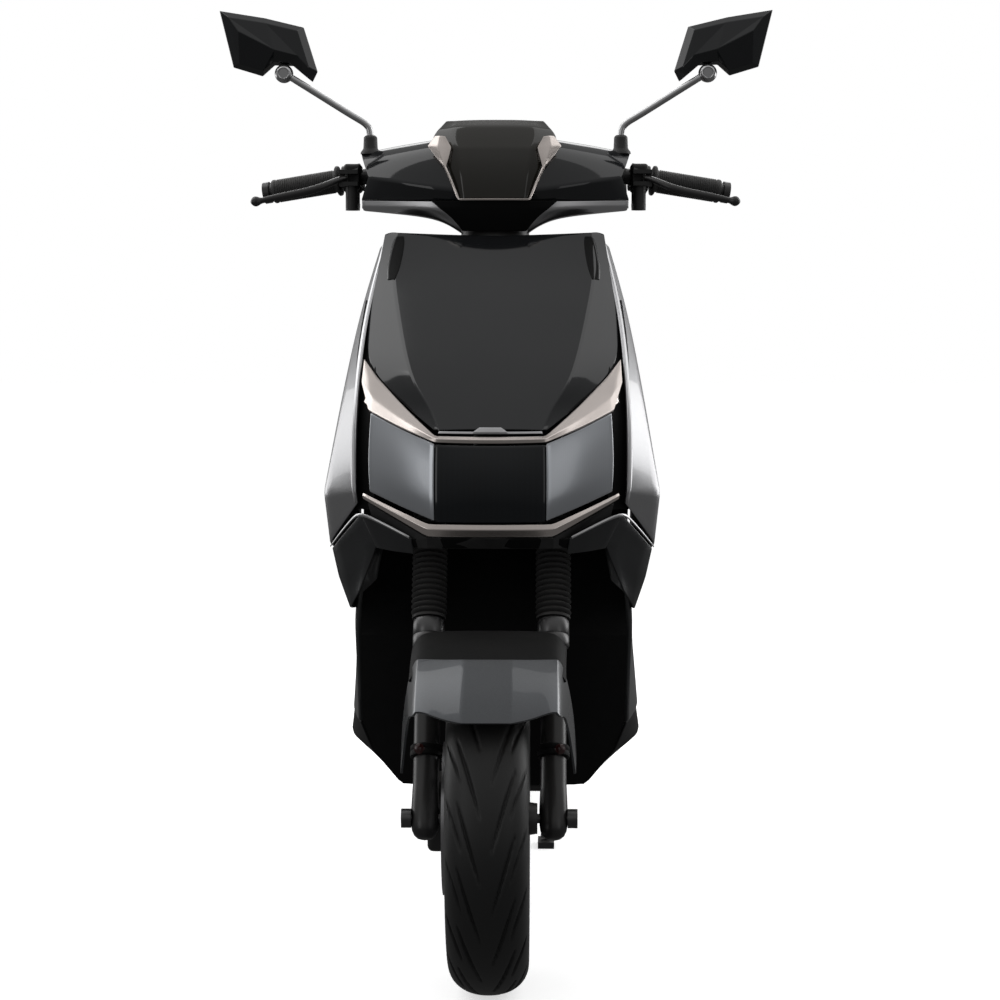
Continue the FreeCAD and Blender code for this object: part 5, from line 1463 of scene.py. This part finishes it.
def seam_pull(place):
    """How far a point of the cover is drawn in by the seams near it, in millimetres."""
    x, y, z = place / MM
    half, top = seat_size_at(y)
    pull = 0.0
    if z > top - 26:
        pull += stitched(y - STEP_Y + abs(x) * 0.22, 3.2, 5.0)
        if 110 < y < 640:
            pull += sum(stitched(x - line * half * 0.56, 2.2, 4.5) for line in (-1, 1))
    if abs(x) > half * 0.6 or y > 660 or y < 90:
        pull += stitched(z - (top - 24), 2.6, 3.8)
    return pull


for vertex in seat_pad.data.vertices:
    vertex.co -= vertex.normal * seam_pull(vertex.co) * MM
for vertex in seat_pad.data.vertices:
    vertex.co.z = max(vertex.co.z, SEAT_REST * MM)
shade_smooth(seat_pad.data)
finer = seat_pad.modifiers.new("finer", "SUBSURF")
finer.levels = finer.render_levels = 1
dress(seat_pad, seat_leather, "seat", ["seat_cushion"])

# %% [markdown]
# ## Floor, light and camera
# Black gloss panels show their shape by what they reflect. So the scooter stands on a pale floor in a white room
# that is darker towards the ground, and large soft lights above, beside and behind it give long highlights.

# %% Floor and world
floor_mesh = bpy.data.meshes.new("floor")
floor_mesh.from_pydata([(-30, -30, 0), (30, -30, 0), (30, 30, 0), (-30, 30, 0)], [], [(0, 1, 2, 3)])
floor = link(bpy.data.objects.new("floor", floor_mesh))
floor_paint = bpy.data.materials.new("floor_paint")
floor_paint.use_nodes = True
floor_shader = floor_paint.node_tree.nodes["Principled BSDF"]
floor_shader.inputs["Base Color"].default_value = (0.9, 0.9, 0.9, 1.0)
floor_shader.inputs["Roughness"].default_value = 0.9
floor_shader.inputs["Specular IOR Level"].default_value = 0.0
floor_shader.inputs["Emission Color"].default_value = (1.0, 1.0, 1.0, 1.0)
floor_shader.inputs["Emission Strength"].default_value = 0.6
floor_mesh.materials.append(floor_paint)
floor.visible_glossy = False
floor.visible_diffuse = False

world = bpy.data.worlds.new("studio")
bpy.context.scene.world = world
world.use_nodes = True
sky = world.node_tree
background = sky.nodes["Background"]
seen = sky.nodes.new("ShaderNodeLightPath")
place = sky.nodes.new("ShaderNodeTexCoord")
axes = sky.nodes.new("ShaderNodeSeparateXYZ")
sky.links.new(place.outputs["Generated"], axes.inputs[0])
height = sky.nodes.new("ShaderNodeMapRange")
height.inputs["From Min"].default_value = -0.15
height.inputs["To Min"].default_value = 0.1
height.inputs["To Max"].default_value = 0.6
sky.links.new(axes.outputs["Z"], height.inputs["Value"])
strength = sky.nodes.new("ShaderNodeMix")
strength.inputs[3].default_value = 1.0
sky.links.new(seen.outputs["Is Camera Ray"], strength.inputs[0])
sky.links.new(height.outputs["Result"], strength.inputs[2])
background.inputs["Color"].default_value = (1.0, 1.0, 1.0, 1.0)
sky.links.new(strength.outputs[0], background.inputs["Strength"])


# %% Soft boxes
def soft_box(name, place, target, size, power):
    """A large rectangular light that faces a target."""
    lamp = bpy.data.lights.new(name, "AREA")
    lamp.shape = "RECTANGLE"
    lamp.size, lamp.size_y = size
    lamp.energy = power
    obj = link(bpy.data.objects.new(name, lamp))
    obj.location = place
    obj.visible_camera = False
    obj.rotation_euler = (Vector(target) - Vector(place)).to_track_quat("-Z", "Y").to_euler()
    return obj


FACE = (0, -0.45, 0.7)
soft_box("left_top", (-1.8, 0.1, 3.1), FACE, (2.0, 2.8), 26)
soft_box("right_top", (1.8, 0.1, 3.1), FACE, (2.0, 2.8), 14)
soft_box("left_back", (-2.7, 1.2, 1.4), FACE, (2.2, 2.2), 26)
soft_box("right_back", (2.7, 1.2, 1.4), FACE, (2.2, 2.2), 36)
soft_box("left_front", (-3.0, -3.4, 1.2), FACE, (1.6, 2.0), 10)
soft_box("right_front", (3.0, -3.4, 1.2), FACE, (1.6, 2.0), 5)
soft_box("rear_top", (0, 2.8, 3.0), (0, 0.3, 0.6), (3.0, 1.2), 30)

# %% Camera
lens = bpy.data.cameras.new("camera")
lens.lens = 91.8
lens.sensor_width = 36.0
camera = link(bpy.data.objects.new("camera", lens))
camera.location = (0.066, -3.833, 0.838)
camera.rotation_euler = (math.radians(90 - 4.05), 0.0, math.radians(0.96))
bpy.context.scene.camera = camera
bpy.context.scene.view_settings.view_transform = "Standard"
